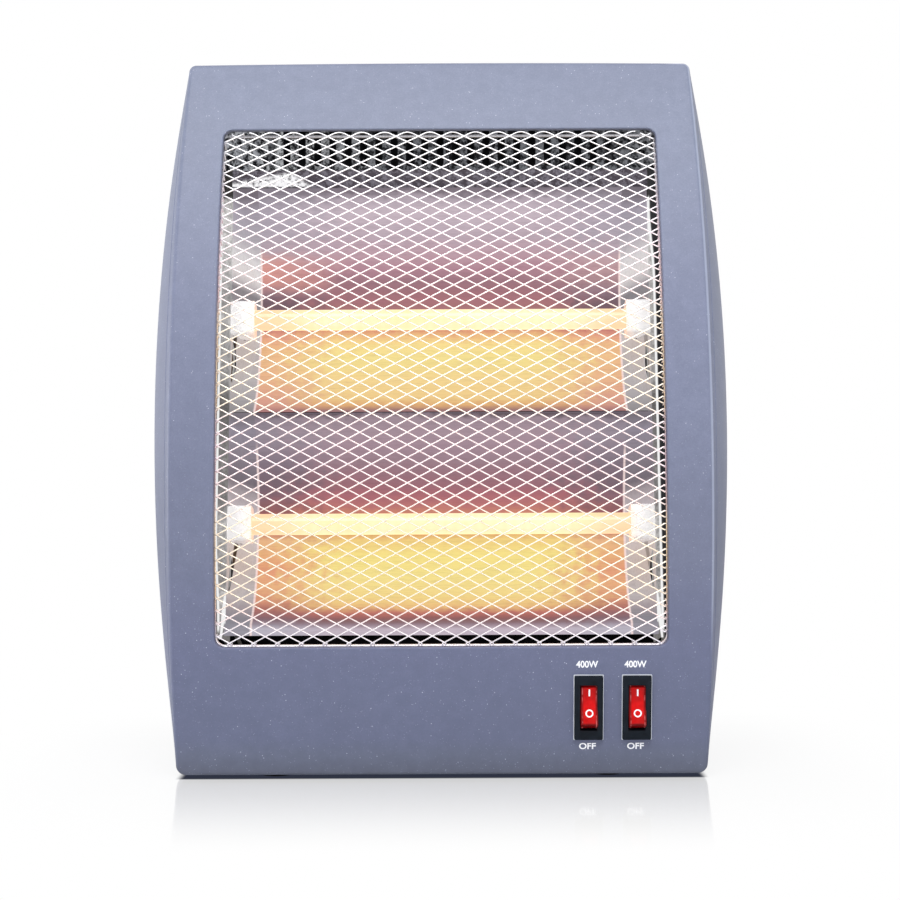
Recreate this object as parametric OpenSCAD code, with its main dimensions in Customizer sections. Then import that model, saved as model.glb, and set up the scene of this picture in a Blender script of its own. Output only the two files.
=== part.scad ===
// Upright radiant heater: two quartz tubes lie in polished troughs behind a diamond wire grille.
// Millimetres. X goes right, Y goes back and Z up. The origin is on the floor under the middle.

/* [Casing] */
// Overall width at the belly of the sides
body_w = 302; // [290:1:320]
// Overall depth, front bow to back rim
body_d = 132; // [126:1:150]
// Height from the floor to the top corners
body_h = 374.5; // [362:0.5:390]
// Rise of the top edge between its corners
top_crown = 0.8; // [0:0.1:3]
// Width between the two front edges at the belly
face_w = 274; // [268:1:286]
// Height of the belly, where the casing is widest
belly_z = 183; // [165:1:195]
// Radius of the bowed front edges, seen from the front
face_bow_r = 6500; // [4000:50:9000]
// Radius of the bowed sides, seen from the front
side_bow_r = 1260; // [1100:10:1700]
// Radius of the front's bow, seen from the side
front_r = 520; // [500:5:600]
// Height of the foremost line of the front
front_z = 110; // [100:1:120]
// Share of the depth at which the sides are widest
bulge_at = 0.42; // [0.35:0.01:0.5]
// Share of the bulge that is left at the back rim
bulge_left = 0.45; // [0.3:0.05:0.8]
// Wall of the moulded shells
wall = 2.6; // [2:0.1:3]
// Corner radius of the front's top corners
top_corner_r = 3.4; // [3:0.1:8]
// Corner radius of the front's bottom corners
low_corner_r = 5; // [4:0.5:10]
// Corner radius of the back rim
rear_corner_r = 30; // [28:1:36]
// Rounding between the sides and the back
rear_round = 14; // [12:1:16]
// Rounding of the front's outer edge
edge_r = 1.6; // [1:0.1:2]
// Depth of the front shell's own side, up to the seam
seam_d = 5; // [4:0.5:7]
// Open line between the two shells
seam_gap = 0.4; // [0.3:0.1:0.8]
// How far the front shell's tongue reaches behind the seam
tongue_d = 7; // [5:0.5:9]
// Thickness of the tongue
tongue_t = 1.6; // [1.2:0.1:1.8]

/* [Window and grille] */
// Width of the window
window_w = 228; // [220:1:231]
// Height of the window's bottom edge
window_low = 67.6; // [64:0.1:74]
// Height of the band over the window
top_band = 38.5; // [37:0.5:46]
// Corner radius of the window
window_r = 5; // [4:0.5:8]
// Depth of the lip round the window
lip_d = 6; // [5:0.5:8]
// Thickness of the lip
lip_t = 1.8; // [1.4:0.1:2.2]
// Rows of diamonds from the bottom to the arches at the top
mesh_rows = 41; // [36:1:44]
// Diamonds across the window
mesh_cols = 18; // [16:1:20]
// Thickness of the grille wire
wire_t = 0.7; // [0.6:0.05:0.9]
// How far the front layer of wire lies behind the face
mesh_d = 2.2; // [1.8:0.1:3]
// Depth at which the turned-back ends of the wires finish
mesh_end_d = 8.8; // [8:0.1:10]
// Thickness of the border wire round the grille
border_t = 2; // [1.6:0.1:2.4]

/* [Heating block] */
// Depth of the lower tube's axis behind the foremost line
tube_set = 40; // [38:1:44]
// Height of the lower tube's axis
tube_z = 128; // [126:1:131]
// Distance between the two tubes
tube_gap = 110; // [108:1:113]
// Lean of the block, in degrees from upright
lean = 11; // [9:0.5:12]
// Diameter of a quartz tube
tube_dia = 11; // [10:0.5:11.5]
// Wall of a quartz tube
tube_wall = 1; // [0.8:0.1:1.4]
// Length of tube that shows between its end caps
tube_len = 197; // [190:1:199]
// Height of a ceramic end cap
cap_h = 18.6; // [17:0.2:20]
// Depth of a ceramic end cap
cap_d = 14; // [13:0.5:15]
// Width of a trough at its mouth
mouth_w = 220; // [216:1:220]
// Width of a trough at its deepest line
back_w = 196; // [190:1:200]
// Distance from a trough's mouth to its tube's axis
mouth_d = 8; // [8:0.5:10]
// Depth of a trough
trough_d = 30; // [26:1:32]
// Reach of the lower trough under its tube
low_reach = 52.5; // [50:0.5:53]
// Where the two troughs meet, over the lower tube
meet_reach = 57.5; // [55:0.5:58]
// Drop from the window's top edge to the top of the upper trough's flange
flange_drop = 20.5; // [19:0.5:26]
// Height of the flat flange on the upper trough
flange_h = 10; // [8:1:12]
// Height of the lip under the lower trough
lip_h = 5; // [3:0.5:6]
// Thickness of the sheet steel
sheet_t = 0.6; // [0.5:0.1:0.8]
// Depth of the slotted heat shield behind the foremost line
shield_set = 103; // [101:1:105]
// Spacing of the heat shield's slots
shield_pitch = 8.5; // [8:0.1:8.8]

/* [Switches] */
// Distance of the first switch to the right of the middle
switch_x = 74.3; // [68:0.1:76]
// Distance between the two switches
switch_pitch = 24.3; // [22:0.1:25]
// Height of the switches
switch_z = 36.6; // [34:0.1:40]
// Width of a switch bezel
bezel_w = 15; // [14.6:0.1:16]
// Height of a switch bezel
bezel_h = 33; // [32:0.5:35]
// Thickness of a switch bezel
bezel_t = 1.8; // [1.4:0.1:2.2]
// Width of a rocker
rocker_w = 8.6; // [8.2:0.1:9.6]
// Swing of a rocker to either side of its middle, in degrees
rocker_swing = 10; // [8:1:12]

/* [Tip-over switch] */
// How far the plunger drops when the heater is lifted
plunger_travel = 6; // [4:0.5:7]
// Diameter of the plunger's rod
plunger_dia = 4.8; // [4:0.1:6]
// Turns of the plunger's spring
spring_turns = 6; // [5:1:8]

/* [Base and back] */
// Height of the feet under the base
foot_h = 2; // [1.5:0.1:4]
// Diameter of a foot
foot_dia = 18; // [14:1:22]
// Distance of the feet from the middle, sideways
foot_x = 85; // [75:1:88]
// Diameter of the hole through the cord gland
gland_bore = 7.2; // [6.4:0.1:8]
// Width of the hand grip's hollow
grip_w = 84; // [80:1:96]
// Height of the hand grip's hollow
grip_h = 24; // [22:1:26]
// Depth of the hand grip's hollow
grip_d = 20; // [18:1:20]

/* [Hidden] */
$fn = 48;
play = 0.3;                      // gap between pieces that seat in each other
pin_play = 0.06;                 // running clearance of a rocker's pins
slip = 0.1;                      // gap round what slides into a hole
seat = 0.05;                     // gap under a screw's head or a flange
far = 20;                        // reach of a cut that goes right through
front_y = -body_d / 2;
back_y = body_d / 2;
base_z = foot_h;
half_window = window_w / 2;
window_high = body_h - top_band;
rear_in = rear_round - wall;     // inner radius of the rounded back edge
tongue_c = wall + play;          // how far the tongue is set in from the outer wall

// The back panel lies in a rebate of the back rim
rim_w = 2;
panel_recess = 2.2;
panel_t = 2.4;
ledge_w = 7;
ledge_t = 2.4;
rebate_d = panel_recess + panel_t + 0.1;
rim_c = rear_round + rim_w;
panel_c = rim_c + play;
ledge_c = rim_c + ledge_w;
panel_y = back_y - panel_recess - panel_t;
vent_pitch = 10;
vent_r = 2.5;
vent_cols = 8;                   // to each side of the middle
vent_rows = 3;
vent_low = 66;                   // no vent shows under the lower trough, seen from the front
vent_rib = 30;                   // height of the bar between two rows of vents
vent_rim = 8;                    // distance of the vents from the hand grip's rim
top_vent_r = 1.4;
top_vent_cols = 10;              // they lie behind the heat shield's bars, and hide the room behind
top_vent_drop = 27.5;            // distance of the top vents from the casing's top
top_vent_h = 28;

// The base tray fills the gap between the rear shell's two feet
leg_x = 100;
tray_x = leg_x - play;
floor_z = base_z + wall;
base_vent_pitch = 12;
base_vents = 5;                  // to each side of the tip-over switch
base_vent_w = 4;
base_vent_l = 40;
window_edge = 0.9;               // rounding of the window's front edge

// Heating block
tube_y = front_y + tube_set;
deep_d = trough_d - mouth_d;
coil_dia = tube_dia - 2 * tube_wall - 2 * play;
cap_in = tube_len / 2;
cap_out = mouth_w / 2 + 1;
cap_r = 2;
cap_bore_d = 7;
web_x = cap_out + play;
high_reach = (window_high - flange_drop - tube_z) / cos(lean) - tube_gap - flange_h;
bracket_t = 0.8;
bracket_reach = 16;
bracket_back = deep_d - 4;
bracket_front = mouth_d + sheet_t + play;
bracket_low = -low_reach - lip_h - 3;
bracket_high = tube_gap + high_reach + flange_h;
bracket_hole_x = web_x + 9;
bracket_holes = [-low_reach + 8, tube_gap + high_reach - 6];
boss_r = 4;
screw_r = 1.5;
hole_r = screw_r + slip;         // a screw passes through
pilot_r = screw_r + seat;        // a screw bites
pilot_l = 9;
head_r = 2 * screw_r;
head_sink = 1.2;                 // a base screw's head lies this deep in the tray
lead_r = 1.1;
lead_drop = 3;                   // the lead leaves a cap this far under the tube's axis
cap_screw_up = 4;
crescent_r = 17;                 // the curved vent in an end plate
crescent_w = 4;
crescent_in = 6;                 // how far it reaches in from the trough's mouth
crescent_rim = 1.2;              // strip of the plate in front of it
crescent_drop = 24.3;            // distance of its middle under the tube's axis
lip_lap = 0.3;                   // a trough's lip and its sheet run into each other
shield_y = front_y + shield_set;

// Switches
switch_lean = -asin((switch_z - front_z) / front_r);
housing_w = bezel_w - 2.2;
housing_h = bezel_h - 4;
housing_d = 17;
housing_floor = 13;
slot_w = rocker_w + 0.4;
rocker_r = bezel_h / 2 - 5;
slot_h = 2 * (rocker_r + 0.2);
pivot_in = 4;
pin_r = 1.24;
pin_reach = slot_w / 2 + 0.8;
terminal_t = 0.8;
terminal_w = 4.8;
terminal_out = 25;
terminal_pitch = 8;

// Tip-over switch
tip_y = 5;
tip_s = 18;
tip_top = floor_z + 27.5;
rod_r = plunger_dia / 2;
rod_bore_r = rod_r + 0.05;
collar_z = tip_top - 16;
collar_t = 2;
collar_r = rod_r + 2;
tip_cavity_r = collar_r + play;
tip_cavity_top = tip_top - 2.5;
tip_cavity_low = collar_z - plunger_travel - 0.1;
button_t = foot_h - 0.4;
spring_wire = 0.8;

// Base and back
foot_y = [front_y + 28, back_y - 24];
foot_hole_r = 3.2;
base_screw_pitch = 37;
gland_x = -88;
gland_z = base_z + 38;
gland_r = gland_bore / 2 + 3.2;
gland_flange = 2.5;
gland_nut_t = 3;
gland_in = 10;
grip_drop = 87.5;
grip_z = body_h - grip_drop;
grip_wall = 2;
grip_rim = 6;
grip_margin = 4;                 // room between the grip's walls and the panel's hole
shield_x = 96;
shield_drop = 22.5;
shield_h = 163;
shield_high = body_h - shield_drop;
shield_low = shield_high - shield_h;
shield_edge = 10;
shield_cols = 12;
shield_hole_drop = 41;
shield_holes = [shield_low + 8, shield_high - shield_hole_drop];
shield_slot_h = 23;
shield_slot_r = 2;
shield_slot_drop = 5;
panel_screw_in = 60;             // distance of the end screws from the casing's ends
panel_screw_z = [for (i = [0, 0.5, 1]) base_z + panel_screw_in
  + i * (body_h - base_z - 2 * panel_screw_in)];
block_x = -52;
block_y = 34;
block_size = [36, 14, 13];
block_pole = 11;                 // distance between the terminals
block_post = 4;                  // height of the two posts under the block
block_post_r = 4;
block_post_x = 10;

shell_blue = [0.55, 0.58, 0.68];
steel = [0.78, 0.79, 0.8];
bright_steel = [0.9, 0.91, 0.92];
ceramic_white = [0.95, 0.94, 0.9];
black = [0.08, 0.08, 0.09];

// ---- The casing's form ----

function mix(a, b, f) = a + (b - a) * f;
function face_y(z) = front_y + front_r - sqrt(front_r ^ 2 - (z - front_z) ^ 2);
function room(z) = back_y - face_y(z);
function seam_x(z) = face_w / 2 - (z - belly_z) ^ 2 / (2 * face_bow_r);
function bulge_x(z) = body_w / 2 - (z - belly_z) ^ 2 / (2 * side_bow_r);
// How full the side's bulge is at share t of the depth
function fullness(t) = t < bulge_at
  ? 1 - ((bulge_at - t) / bulge_at) ^ 2
  : 1 - (1 - bulge_left) * ((t - bulge_at) / (1 - bulge_at)) ^ 2;
// Half the casing's width at height z, at depth d behind the face
function side_x(z, d) = mix(seam_x(z), bulge_x(z), fullness(d / room(z)));

side_steps = 16;
corner_steps = 4;
edge_steps = 3;
least_corner = 0.5;              // an inner corner is at least this round

// Right half of the casing's outline in X and Z, from x0 on the bottom round to the top middle.
// dep gives the depth at each height, c draws the outline in, and rt and rb are corner radii.
function half_outline(dep, c, rt, rb, x0, low_steps) =
  let (low_r = max(rb, c + least_corner), top_r = max(rt, c + least_corner),
       zl = base_z + low_r, zh = body_h - top_r,
       xl = side_x(zl, dep(zl)) - low_r, xh = side_x(zh, dep(zh)) - top_r)
  [for (i = [0:low_steps - 1]) [mix(x0, xl, i / low_steps), base_z + c],
   for (i = [0:corner_steps - 1]) let (a = 90 * i / corner_steps - 90)
     [xl + (low_r - c) * cos(a), zl + (low_r - c) * sin(a)],
   for (i = [0:side_steps - 1]) let (z = mix(zl, zh, i / side_steps)) [side_x(z, dep(z)) - c, z],
   for (i = [0:corner_steps - 1]) let (a = 90 * i / corner_steps)
     [xh + (top_r - c) * cos(a), zh + (top_r - c) * sin(a)],
   for (i = [0:edge_steps]) let (f = 1 - i / edge_steps)
     [xh * f, body_h - c + top_crown * (1 - f ^ 2)]];

// Right half of the window's outline, grown by g, with a point for each of the casing's
function half_window_outline(g) =
  let (x = half_window - window_r, zl = window_low + window_r, zh = window_high - window_r,
       r = window_r + g)
  [for (i = [0:edge_steps - 1]) [x * i / edge_steps, zl - r],
   for (i = [0:corner_steps - 1]) let (a = 90 * i / corner_steps - 90)
     [x + r * cos(a), zl + r * sin(a)],
   for (i = [0:side_steps - 1]) [x + r, mix(zl, zh, i / side_steps)],
   for (i = [0:corner_steps - 1]) let (a = 90 * i / corner_steps)
     [x + r * cos(a), zh + r * sin(a)],
   for (i = [0:edge_steps]) [x * (1 - i / edge_steps), zh + r]];

// A half outline with its mirror image: closed drops both middle points from the copy
function whole(half, closed) = concat(half,
  [for (i = [len(half) - 2:-1:closed ? 1 : 0]) [-half[i].x, half[i].y]]);

function casing_ring(d, c) = [for (p = whole(half_outline(function(z) d, c, top_corner_r,
  low_corner_r, 0, edge_steps), true)) [p.x, face_y(p.y) + d, p.y]];
function window_ring(d, g) = [for (p = whole(half_window_outline(g), true))
  [p.x, face_y(p.y) + d, p.y]];
// A ring on the face between its outer edge and the window, f of the way in
function between_ring(d, c, g, f) =
  let (a = whole(half_outline(function(z) d, c, top_corner_r, low_corner_r, 0, edge_steps), true),
       b = whole(half_window_outline(g), true))
  [for (i = [0:len(a) - 1]) let (p = mix(a[i], b[i], f)) [p.x, face_y(p.y) + d, p.y]];

// Closed skin through rings of equal length. It closes from the last ring to the first, and
// round each ring or, if open_ends, across the wall between the first and last halves of the rings
module skin(rings, open_ends = false) {
  n = len(rings[0]);
  m = len(rings);
  last = open_ends ? n - 2 : n - 1;
  sides = [for (k = [0:m - 1], i = [0:last])
    let (a = k * n + i, b = k * n + (i + 1) % n, e = (k + 1) % m * n)
    each [[a, b, e + (i + 1) % n], [a, e + (i + 1) % n, e + i]]];
  ends = open_ends ? [for (k = [0:m / 2 - 2])
    let (a = k * n, b = a + n, c = (m - 1 - k) * n, d = c - n, o = n - 1)
    each [[a, b, c], [b, d, c], [c + o, b + o, a + o], [c + o, d + o, b + o]]] : [];
  polyhedron([for (r = rings) each r], concat(sides, ends));
}

// ---- Sections that the rear shell and the base tray share ----

// The wall's section as [share of the way to the rounded back edge, further back, set in]:
// the outer side from front to back, and a point on the inner side for each of its points
tongue_share = 0.15;             // the corners start to widen behind the front shell's tongue
shares = [0, tongue_share / 2, tongue_share, 0.3, 0.45, 0.6, 0.8];
ledge_in = rear_round - rebate_d - ledge_t;
ledge_root = wall + 5.4;
outer_side = concat(
  [for (t = shares) [t, 0, 0]],
  [for (a = [0:30:90]) [1, rear_round * sin(a), rear_round * (1 - cos(a))]],
  [for (p = [[rear_round, rim_c], [rear_round - rebate_d, rim_c],
    [rear_round - rebate_d, ledge_c]]) [1, p[0], p[1]]]);
inner_side = concat(
  [for (t = shares) [t, 0, wall]],
  [for (a = [0, 15, 30]) [1, rear_in * sin(a), rear_round - rear_in * cos(a)]],
  [for (c = [ledge_root, (ledge_root + rim_c) / 2, rim_c, ledge_c]) [1, ledge_in, c]]);
wall_section = concat(outer_side, [for (i = [len(inner_side) - 1:-1:0]) inner_side[i]]);

function section_depth(s) = function(z)
  seam_d + seam_gap + s[0] * (room(z) - rear_round - seam_d - seam_gap) + s[1];
function section_ring(s) =
  let (dep = section_depth(s), f = max(0, s[0] - tongue_share) / (1 - tongue_share))
  [for (p = whole(half_outline(dep, s[2], mix(top_corner_r, rear_corner_r, f),
     mix(low_corner_r, rear_corner_r, f), leg_x, 1), false))
    [p.x, face_y(p.y) + dep(p.y), p.y]];
panel_outline = whole(half_outline(function(z) room(z), panel_c, rear_corner_r, rear_corner_r,
  0, edge_steps), true);

// ---- Helpers ----

// Extrudes a profile of Y and Z along X, half to each side
module along_x(length) rotate([90, 0, 90]) linear_extrude(length, center = true) children();
// Extrudes a profile of X and Z from y0 back to y1
module along_y(y0, y1) translate([0, y1, 0]) rotate([90, 0, 0]) linear_extrude(y1 - y0) children();
// A round rod along Y from y0 to y1
module rod_y(r, y0, y1) translate([0, y1, 0]) rotate([90, 0, 0]) cylinder(r = r, h = y1 - y0);
// A round rod along X from x0 to x1
module rod_x(r, x0, x1) translate([x0, 0, 0]) rotate([0, 90, 0]) cylinder(r = r, h = x1 - x0);
// A box between two corners
module block(a, b) translate(a) cube(b - a);
// The frame of the heating block: its origin is on the lower tube's axis
module leaned() translate([0, tube_y, tube_z]) rotate([-lean, 0, 0]) children();
// The frame of switch i: its origin is on the face and Y goes straight into it
module at_switch(i) translate([switch_x + i * switch_pitch, face_y(switch_z), switch_z])
  rotate([switch_lean, 0, 0]) children();

function unit(v) = v / norm(v);
// A slot with round ends, as points
function slot_points(x, z0, z1, r) = concat(
  [for (a = [180:30:360]) [x + r * cos(a), z0 + r + r * sin(a)]],
  [for (a = [0:30:180]) [x + r * cos(a), z1 - r + r * sin(a)]]);
// A rectangle with round corners, as points
function round_box(x0, x1, z0, z1, r) = [for (q = [0:3], i = [0:4])
  let (a = 90 * q + 22.5 * i, x = (q == 1 || q == 2) ? x0 + r : x1 - r, z = q > 1 ? z0 + r : z1 - r)
  [x + r * cos(a), z + r * sin(a)]];
// A plate with holes: the first outline is the rim and the others are holes
module pierced(outlines) {
  starts = [for (i = 0, n = 0; i < len(outlines); n = n + len(outlines[i]), i = i + 1) n];
  polygon([for (o = outlines) each o],
    [for (i = [0:len(outlines) - 1]) [for (j = [0:len(outlines[i]) - 1]) starts[i] + j]]);
}

// Tangents along a path, and a normal that turns with them as little as it can
function tangents(p) = [for (i = [0:len(p) - 1])
  unit(p[min(i + 1, len(p) - 1)] - p[max(i - 1, 0)])];
function normals(t, n0) = [for (i = 0, n = unit(n0 - (n0 * t[0]) * t[0]); i < len(t);
  i = i + 1, n = i < len(t) ? unit(n - (n * t[i]) * t[i]) : n) n];
// A tube of n sides along an open path
module tube(path, r, n, n0) {
  t = tangents(path);
  u = normals(t, n0);
  m = len(path);
  points = [for (i = [0:m - 1], j = [0:n - 1]) let (a = 360 * j / n)
    path[i] + r * (cos(a) * u[i] + sin(a) * cross(t[i], u[i]))];
  sides = [for (i = [0:m - 2], j = [0:n - 1]) let (a = i * n + j, b = i * n + (j + 1) % n)
    each [[a, a + n, b + n], [a, b + n, b]]];
  polyhedron(points, concat(sides,
    [[for (j = [0:n - 1]) j], [for (j = [n - 1:-1:0]) (m - 1) * n + j]]));
}
// A smooth path through a few chosen points
function through(p, steps) = let (n = len(p) - 1)
  [for (i = [0:n - 1], k = [0:steps - 1])
     let (a = p[max(i - 1, 0)], b = p[i], c = p[i + 1], d = p[min(i + 2, n)], t = k / steps)
     0.5 * (2 * b + (c - a) * t + (2 * a - 5 * b + 4 * c - d) * t ^ 2
       + (3 * b - a - 3 * c + d) * t ^ 3),
   p[n]];

// ---- Casing ----

module front_shell() {
  inner_c = tongue_c + tongue_t;
  end_d = seam_d + tongue_d;
  color(shell_blue) difference() {
    union() {
      skin([
        casing_ring(seam_d, tongue_c),
        casing_ring(end_d, tongue_c),
        casing_ring(end_d, inner_c),
        casing_ring(wall, inner_c),
        between_ring(wall, inner_c, lip_t, 1 / 3),
        between_ring(wall, inner_c, lip_t, 2 / 3),
        window_ring(wall, lip_t),
        window_ring(lip_d, lip_t),
        window_ring(lip_d, 0),
        window_ring(window_edge, 0),
        window_ring(window_edge * (1 - cos(45)), window_edge * (1 - cos(45))),
        window_ring(0, window_edge),
        between_ring(0, edge_r, window_edge, 2 / 3),
        between_ring(0, edge_r, window_edge, 1 / 3),
        casing_ring(0, edge_r),
        casing_ring(edge_r * (1 - cos(45)), edge_r * (1 - cos(45))),
        casing_ring(edge_r, 0),
        casing_ring(seam_d, 0)
      ]);
      for (s = [-1, 1], z = bracket_holes) bracket_boss(s * bracket_hole_x, z);
    }
    for (i = [0, 1]) at_switch(i)
      block([-housing_w / 2 - play, -far, -housing_h / 2 - play],
            [housing_w / 2 + play, far, housing_h / 2 + play]);
    for (s = [-1, 1], z = bracket_holes) leaned()
      translate([s * bracket_hole_x, 0, z]) rod_y(pilot_r, -bracket_front - pilot_l, 0);
    for (x = base_screw_x) translate([x, base_screw_y, base_z]) cylinder(r = pilot_r, h = pilot_l);
  }
}

// A post from the shell's wall to a bracket, square to the bracket
module bracket_boss(x, z) {
  foot = from_leaned([0, -bracket_front, z]);
  leaned() translate([x, 0, z]) rod_y(boss_r, -bracket_front - reach_to_face(foot),
    -bracket_front - 0.1);
}
// How far it is from a point to the middle of the front wall, square to the brackets
function reach_to_face(p, guess = 0, n = 6) = n == 0 ? guess : reach_to_face(p,
  (p.y - face_y(p.z + guess * sin(lean)) - wall * 0.6) / cos(lean), n - 1);

base_screw_x = [for (i = [-1.5:1.5]) i * base_screw_pitch];
base_screw_y = face_y(base_z) + seam_d + tongue_d / 2 + 1.2;

module rear_shell() color(shell_blue) difference() {
  skin([for (s = wall_section) section_ring(s)], true);
  panel_screw_places() rod_y(pilot_r, panel_y - far, back_y);
}

module panel_screw_places() for (s = [-1, 1], z = panel_screw_z)
  translate([s * (side_x(z, room(z) - rebate_d) - rim_c - ledge_w / 2), 0, z]) children();

module base_tray() color(shell_blue) difference() {
  union() {
    along_x(2 * tray_x) polygon([for (s = wall_section) let (z = base_z + s[2])
      [face_y(z) + section_depth(s)(z), z]]);
    for (x = [-1, 1] * block_post_x) translate([block_x + x, block_y, base_z + wall / 2])
      cylinder(r = block_post_r, h = wall / 2 + block_post);
  }
  for (x = [-1, 1] * foot_x, y = foot_y) translate([x, y, 0]) cylinder(r = foot_hole_r, h = far);
  translate([0, tip_y, 0]) cylinder(r = rod_bore_r, h = far);
  for (x = base_screw_x) translate([x, base_screw_y, 0]) {
    cylinder(r = hole_r, h = far);
    cylinder(r = head_r, h = base_z + head_sink);
  }
  for (s = [-1, 1], i = [1:base_vents]) translate([s * base_vent_pitch * (i + 0.5), 0, 0])
    block([-base_vent_w / 2, -base_vent_l / 2, 0], [base_vent_w / 2, base_vent_l / 2, far]);
}

vent_h = (grip_z - grip_h / 2 - grip_wall - grip_rim - vent_rim - vent_low + vent_rib) / vent_rows
  - vent_rib;
vent_z = [for (i = [0:vent_rows - 1]) vent_low + i * (vent_h + vent_rib)];

module rear_panel() color(shell_blue) difference() {
  union() {
    along_y(panel_y, panel_y + panel_t) pierced(concat(
      [panel_outline],
      [for (i = [0.5 - top_vent_cols:top_vent_cols]) slot_points(i * (shield_pitch + 0.15),
        body_h - top_vent_drop - top_vent_h, body_h - top_vent_drop, top_vent_r)],
      [for (z = vent_z, i = [-vent_cols:vent_cols])
        if (z > gland_z || abs(i * vent_pitch - gland_x) > gland_r + gland_flange + 2 * vent_r)
          slot_points(i * vent_pitch, z, z + vent_h, vent_r)],
      [grip_outline(grip_wall + grip_margin, 4)]));
    for (x = [-1, 1] * shield_x, z = shield_holes) translate([x, 0, z])
      rod_y(boss_r, shield_y + sheet_t + slip, panel_y + 1);
  }
  panel_screw_places() rod_y(hole_r, panel_y - 1, back_y);
  for (x = [-1, 1] * shield_x, z = shield_holes) translate([x, 0, z])
    rod_y(pilot_r, shield_y, shield_y + pilot_l);
  translate([gland_x, 0, gland_z]) rod_y(gland_r + slip, panel_y - 1, back_y);
}

// The hand grip's hollow, grown by g, with corner radius r
function grip_outline(g, r) = round_box(-grip_w / 2 - g, grip_w / 2 + g,
  grip_z - grip_h / 2 - g, grip_z + grip_h / 2 + g, r);
module grip_cup() color(shell_blue) difference() {
  union() {
    along_y(panel_y - grip_d, panel_y + panel_t + 2 * slip) polygon(grip_outline(grip_wall, 4));
    along_y(panel_y + panel_t + slip, back_y - 4 * slip) polygon(grip_outline(grip_wall + grip_rim, 6));
  }
  along_y(panel_y - grip_d + grip_wall, back_y + 1) polygon(grip_outline(0, 3));
}

// ---- Grille ----

// The face's bow, in degrees round its axis, at height z
function bow(z) = asin((z - front_z) / front_r);
// Arc lengths along the bow, up from the foremost line
function arc_at(z) = front_r * bow(z) * PI / 180;
mesh_in = wire_t / 2 + play;
mesh_half = half_window - mesh_in;
mesh_low = arc_at(window_low) + mesh_in;
mesh_high = arc_at(window_high) - mesh_in;
mesh_r = window_r - mesh_in;
bend = 1;
layer_gap = 0.2;                 // the straight lengths of a wire cut the bow a little
cross_in = 1.3;                  // from the turned-back ends to the crossings next to a side
cross_up = 0.4;                  // and to the crossings next to the bottom
mesh_left = cross_in + bend - mesh_half;
mesh_first = mesh_low + bend + cross_up;
mesh_pitch = -2 * mesh_left / (mesh_cols + 0.5);
row_h = (mesh_high - bend - mesh_first) / (mesh_rows + 0.25);
mesh_slope = row_h / mesh_pitch;
last_row = mesh_high - bend - row_h / 4;

// A point over the bow: x across, s along the arc and d deep
function over_bow(x, s, d) = let (a = s / front_r * 180 / PI)
  [x, front_y + front_r - (front_r - d) * cos(a), front_z + (front_r - d) * sin(a)];
// The grille's rounded outline: how far a point lies outside it, and which way out is
function mesh_corner(x, s) = [abs(x) - mesh_half + mesh_r,
  abs(s - (mesh_low + mesh_high) / 2) - (mesh_high - mesh_low) / 2 + mesh_r];
function outside(x, s) = let (q = mesh_corner(x, s))
  norm([max(q.x, 0), max(q.y, 0)]) + min(max(q.x, q.y), 0) - mesh_r;
function way_out(x, s) = let (h = 0.01)
  unit([outside(x + h, s) - outside(x - h, s), outside(x, s + h) - outside(x, s - h)]);
// Where the line s = s0 + k x, inside at x = a and outside at b, crosses the outline
function crossing(s0, k, a, b, n = 16) = let (m = (a + b) / 2)
  n == 0 ? m : outside(m, s0 + k * m) > -bend ? crossing(s0, k, a, m, n - 1)
                                              : crossing(s0, k, m, b, n - 1);

// Over the last row of crossings a wire bends over in an arch and nearly meets its neighbour
arch_shares = [0, 0.45, 0.88];
function arch(x, way) = [for (f = arch_shares) let (a = f * mesh_pitch / 2)
  [x + way * a, last_row + mesh_slope * a * (1 - a / mesh_pitch)]];

// One wire's path: straight across the bow, with both ends turned back
function wire_path(s0, k, d) =
  let (reach = mesh_half,
       xa = max(-reach, min((mesh_low - s0) / k, (mesh_high - s0) / k)),
       xb = min(reach, max((mesh_low - s0) / k, (mesh_high - s0) / k)),
       m = (xa + xb) / 2)
  xb - xa < 8 || outside(m, s0 + k * m) > -2 * bend ? [] :
  let (x0 = crossing(s0, k, m, xa - 1), x1 = crossing(s0, k, m, xb + 1),
       xt = (last_row - s0) / k,
       arched = abs(xt) < mesh_half - mesh_r - mesh_pitch / 2,
       top = arch(xt, sign(k)),
       left = arched && k < 0 ? [for (i = [len(top) - 1:-1:0]) top[i]] : [[x0, s0 + k * x0]],
       right = arched && k > 0 ? top : [[x1, s0 + k * x1]],
       a = left[len(left) - 1], b = right[0],
       n = max(1, ceil(abs(b.y - a.y) / 30)),
       flat = concat(left, [for (i = [1:1:n - 1]) mix(a, b, i / n)], right),
       e0 = flat[0], e1 = flat[len(flat) - 1],
       w0 = way_out(e0.x, e0.y), w1 = way_out(e1.x, e1.y))
  concat([concat(e0 + bend * w0, mesh_end_d), concat(e0 + 0.75 * bend * w0, d + 0.5)],
    [for (p = flat) concat(p, d)],
    [concat(e1 + 0.75 * bend * w1, d + 0.5), concat(e1 + bend * w1, mesh_end_d)]);

// Points of a square wire round its path, and the faces that close it
function wire_points(path, k) =
  let (p = [for (q = path) over_bow(q.x, q.y, q.z)], t = tangents(p), c = unit([1, k]))
  [for (i = [0:len(p) - 1])
     let (a = path[i].y / front_r * 180 / PI,
          b = [-c.y, c.x * sin(a), c.x * cos(a)],
          u = unit(b - (b * t[i]) * t[i]), v = cross(t[i], u))
     for (j = [0:3]) p[i] + wire_t / sqrt(2) * (cos(90 * j + 45) * u + sin(90 * j + 45) * v)];
function wire_faces(m, o) = concat(
  [for (i = [0:m - 2], j = [0:3]) let (a = o + i * 4 + j, b = o + i * 4 + (j + 1) % 4)
     each [[a, a + 4, b + 4], [a, b + 4, b]]],
  [[o, o + 1, o + 2, o + 3], [for (j = [3:-1:0]) o + (m - 1) * 4 + j]]);

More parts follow.
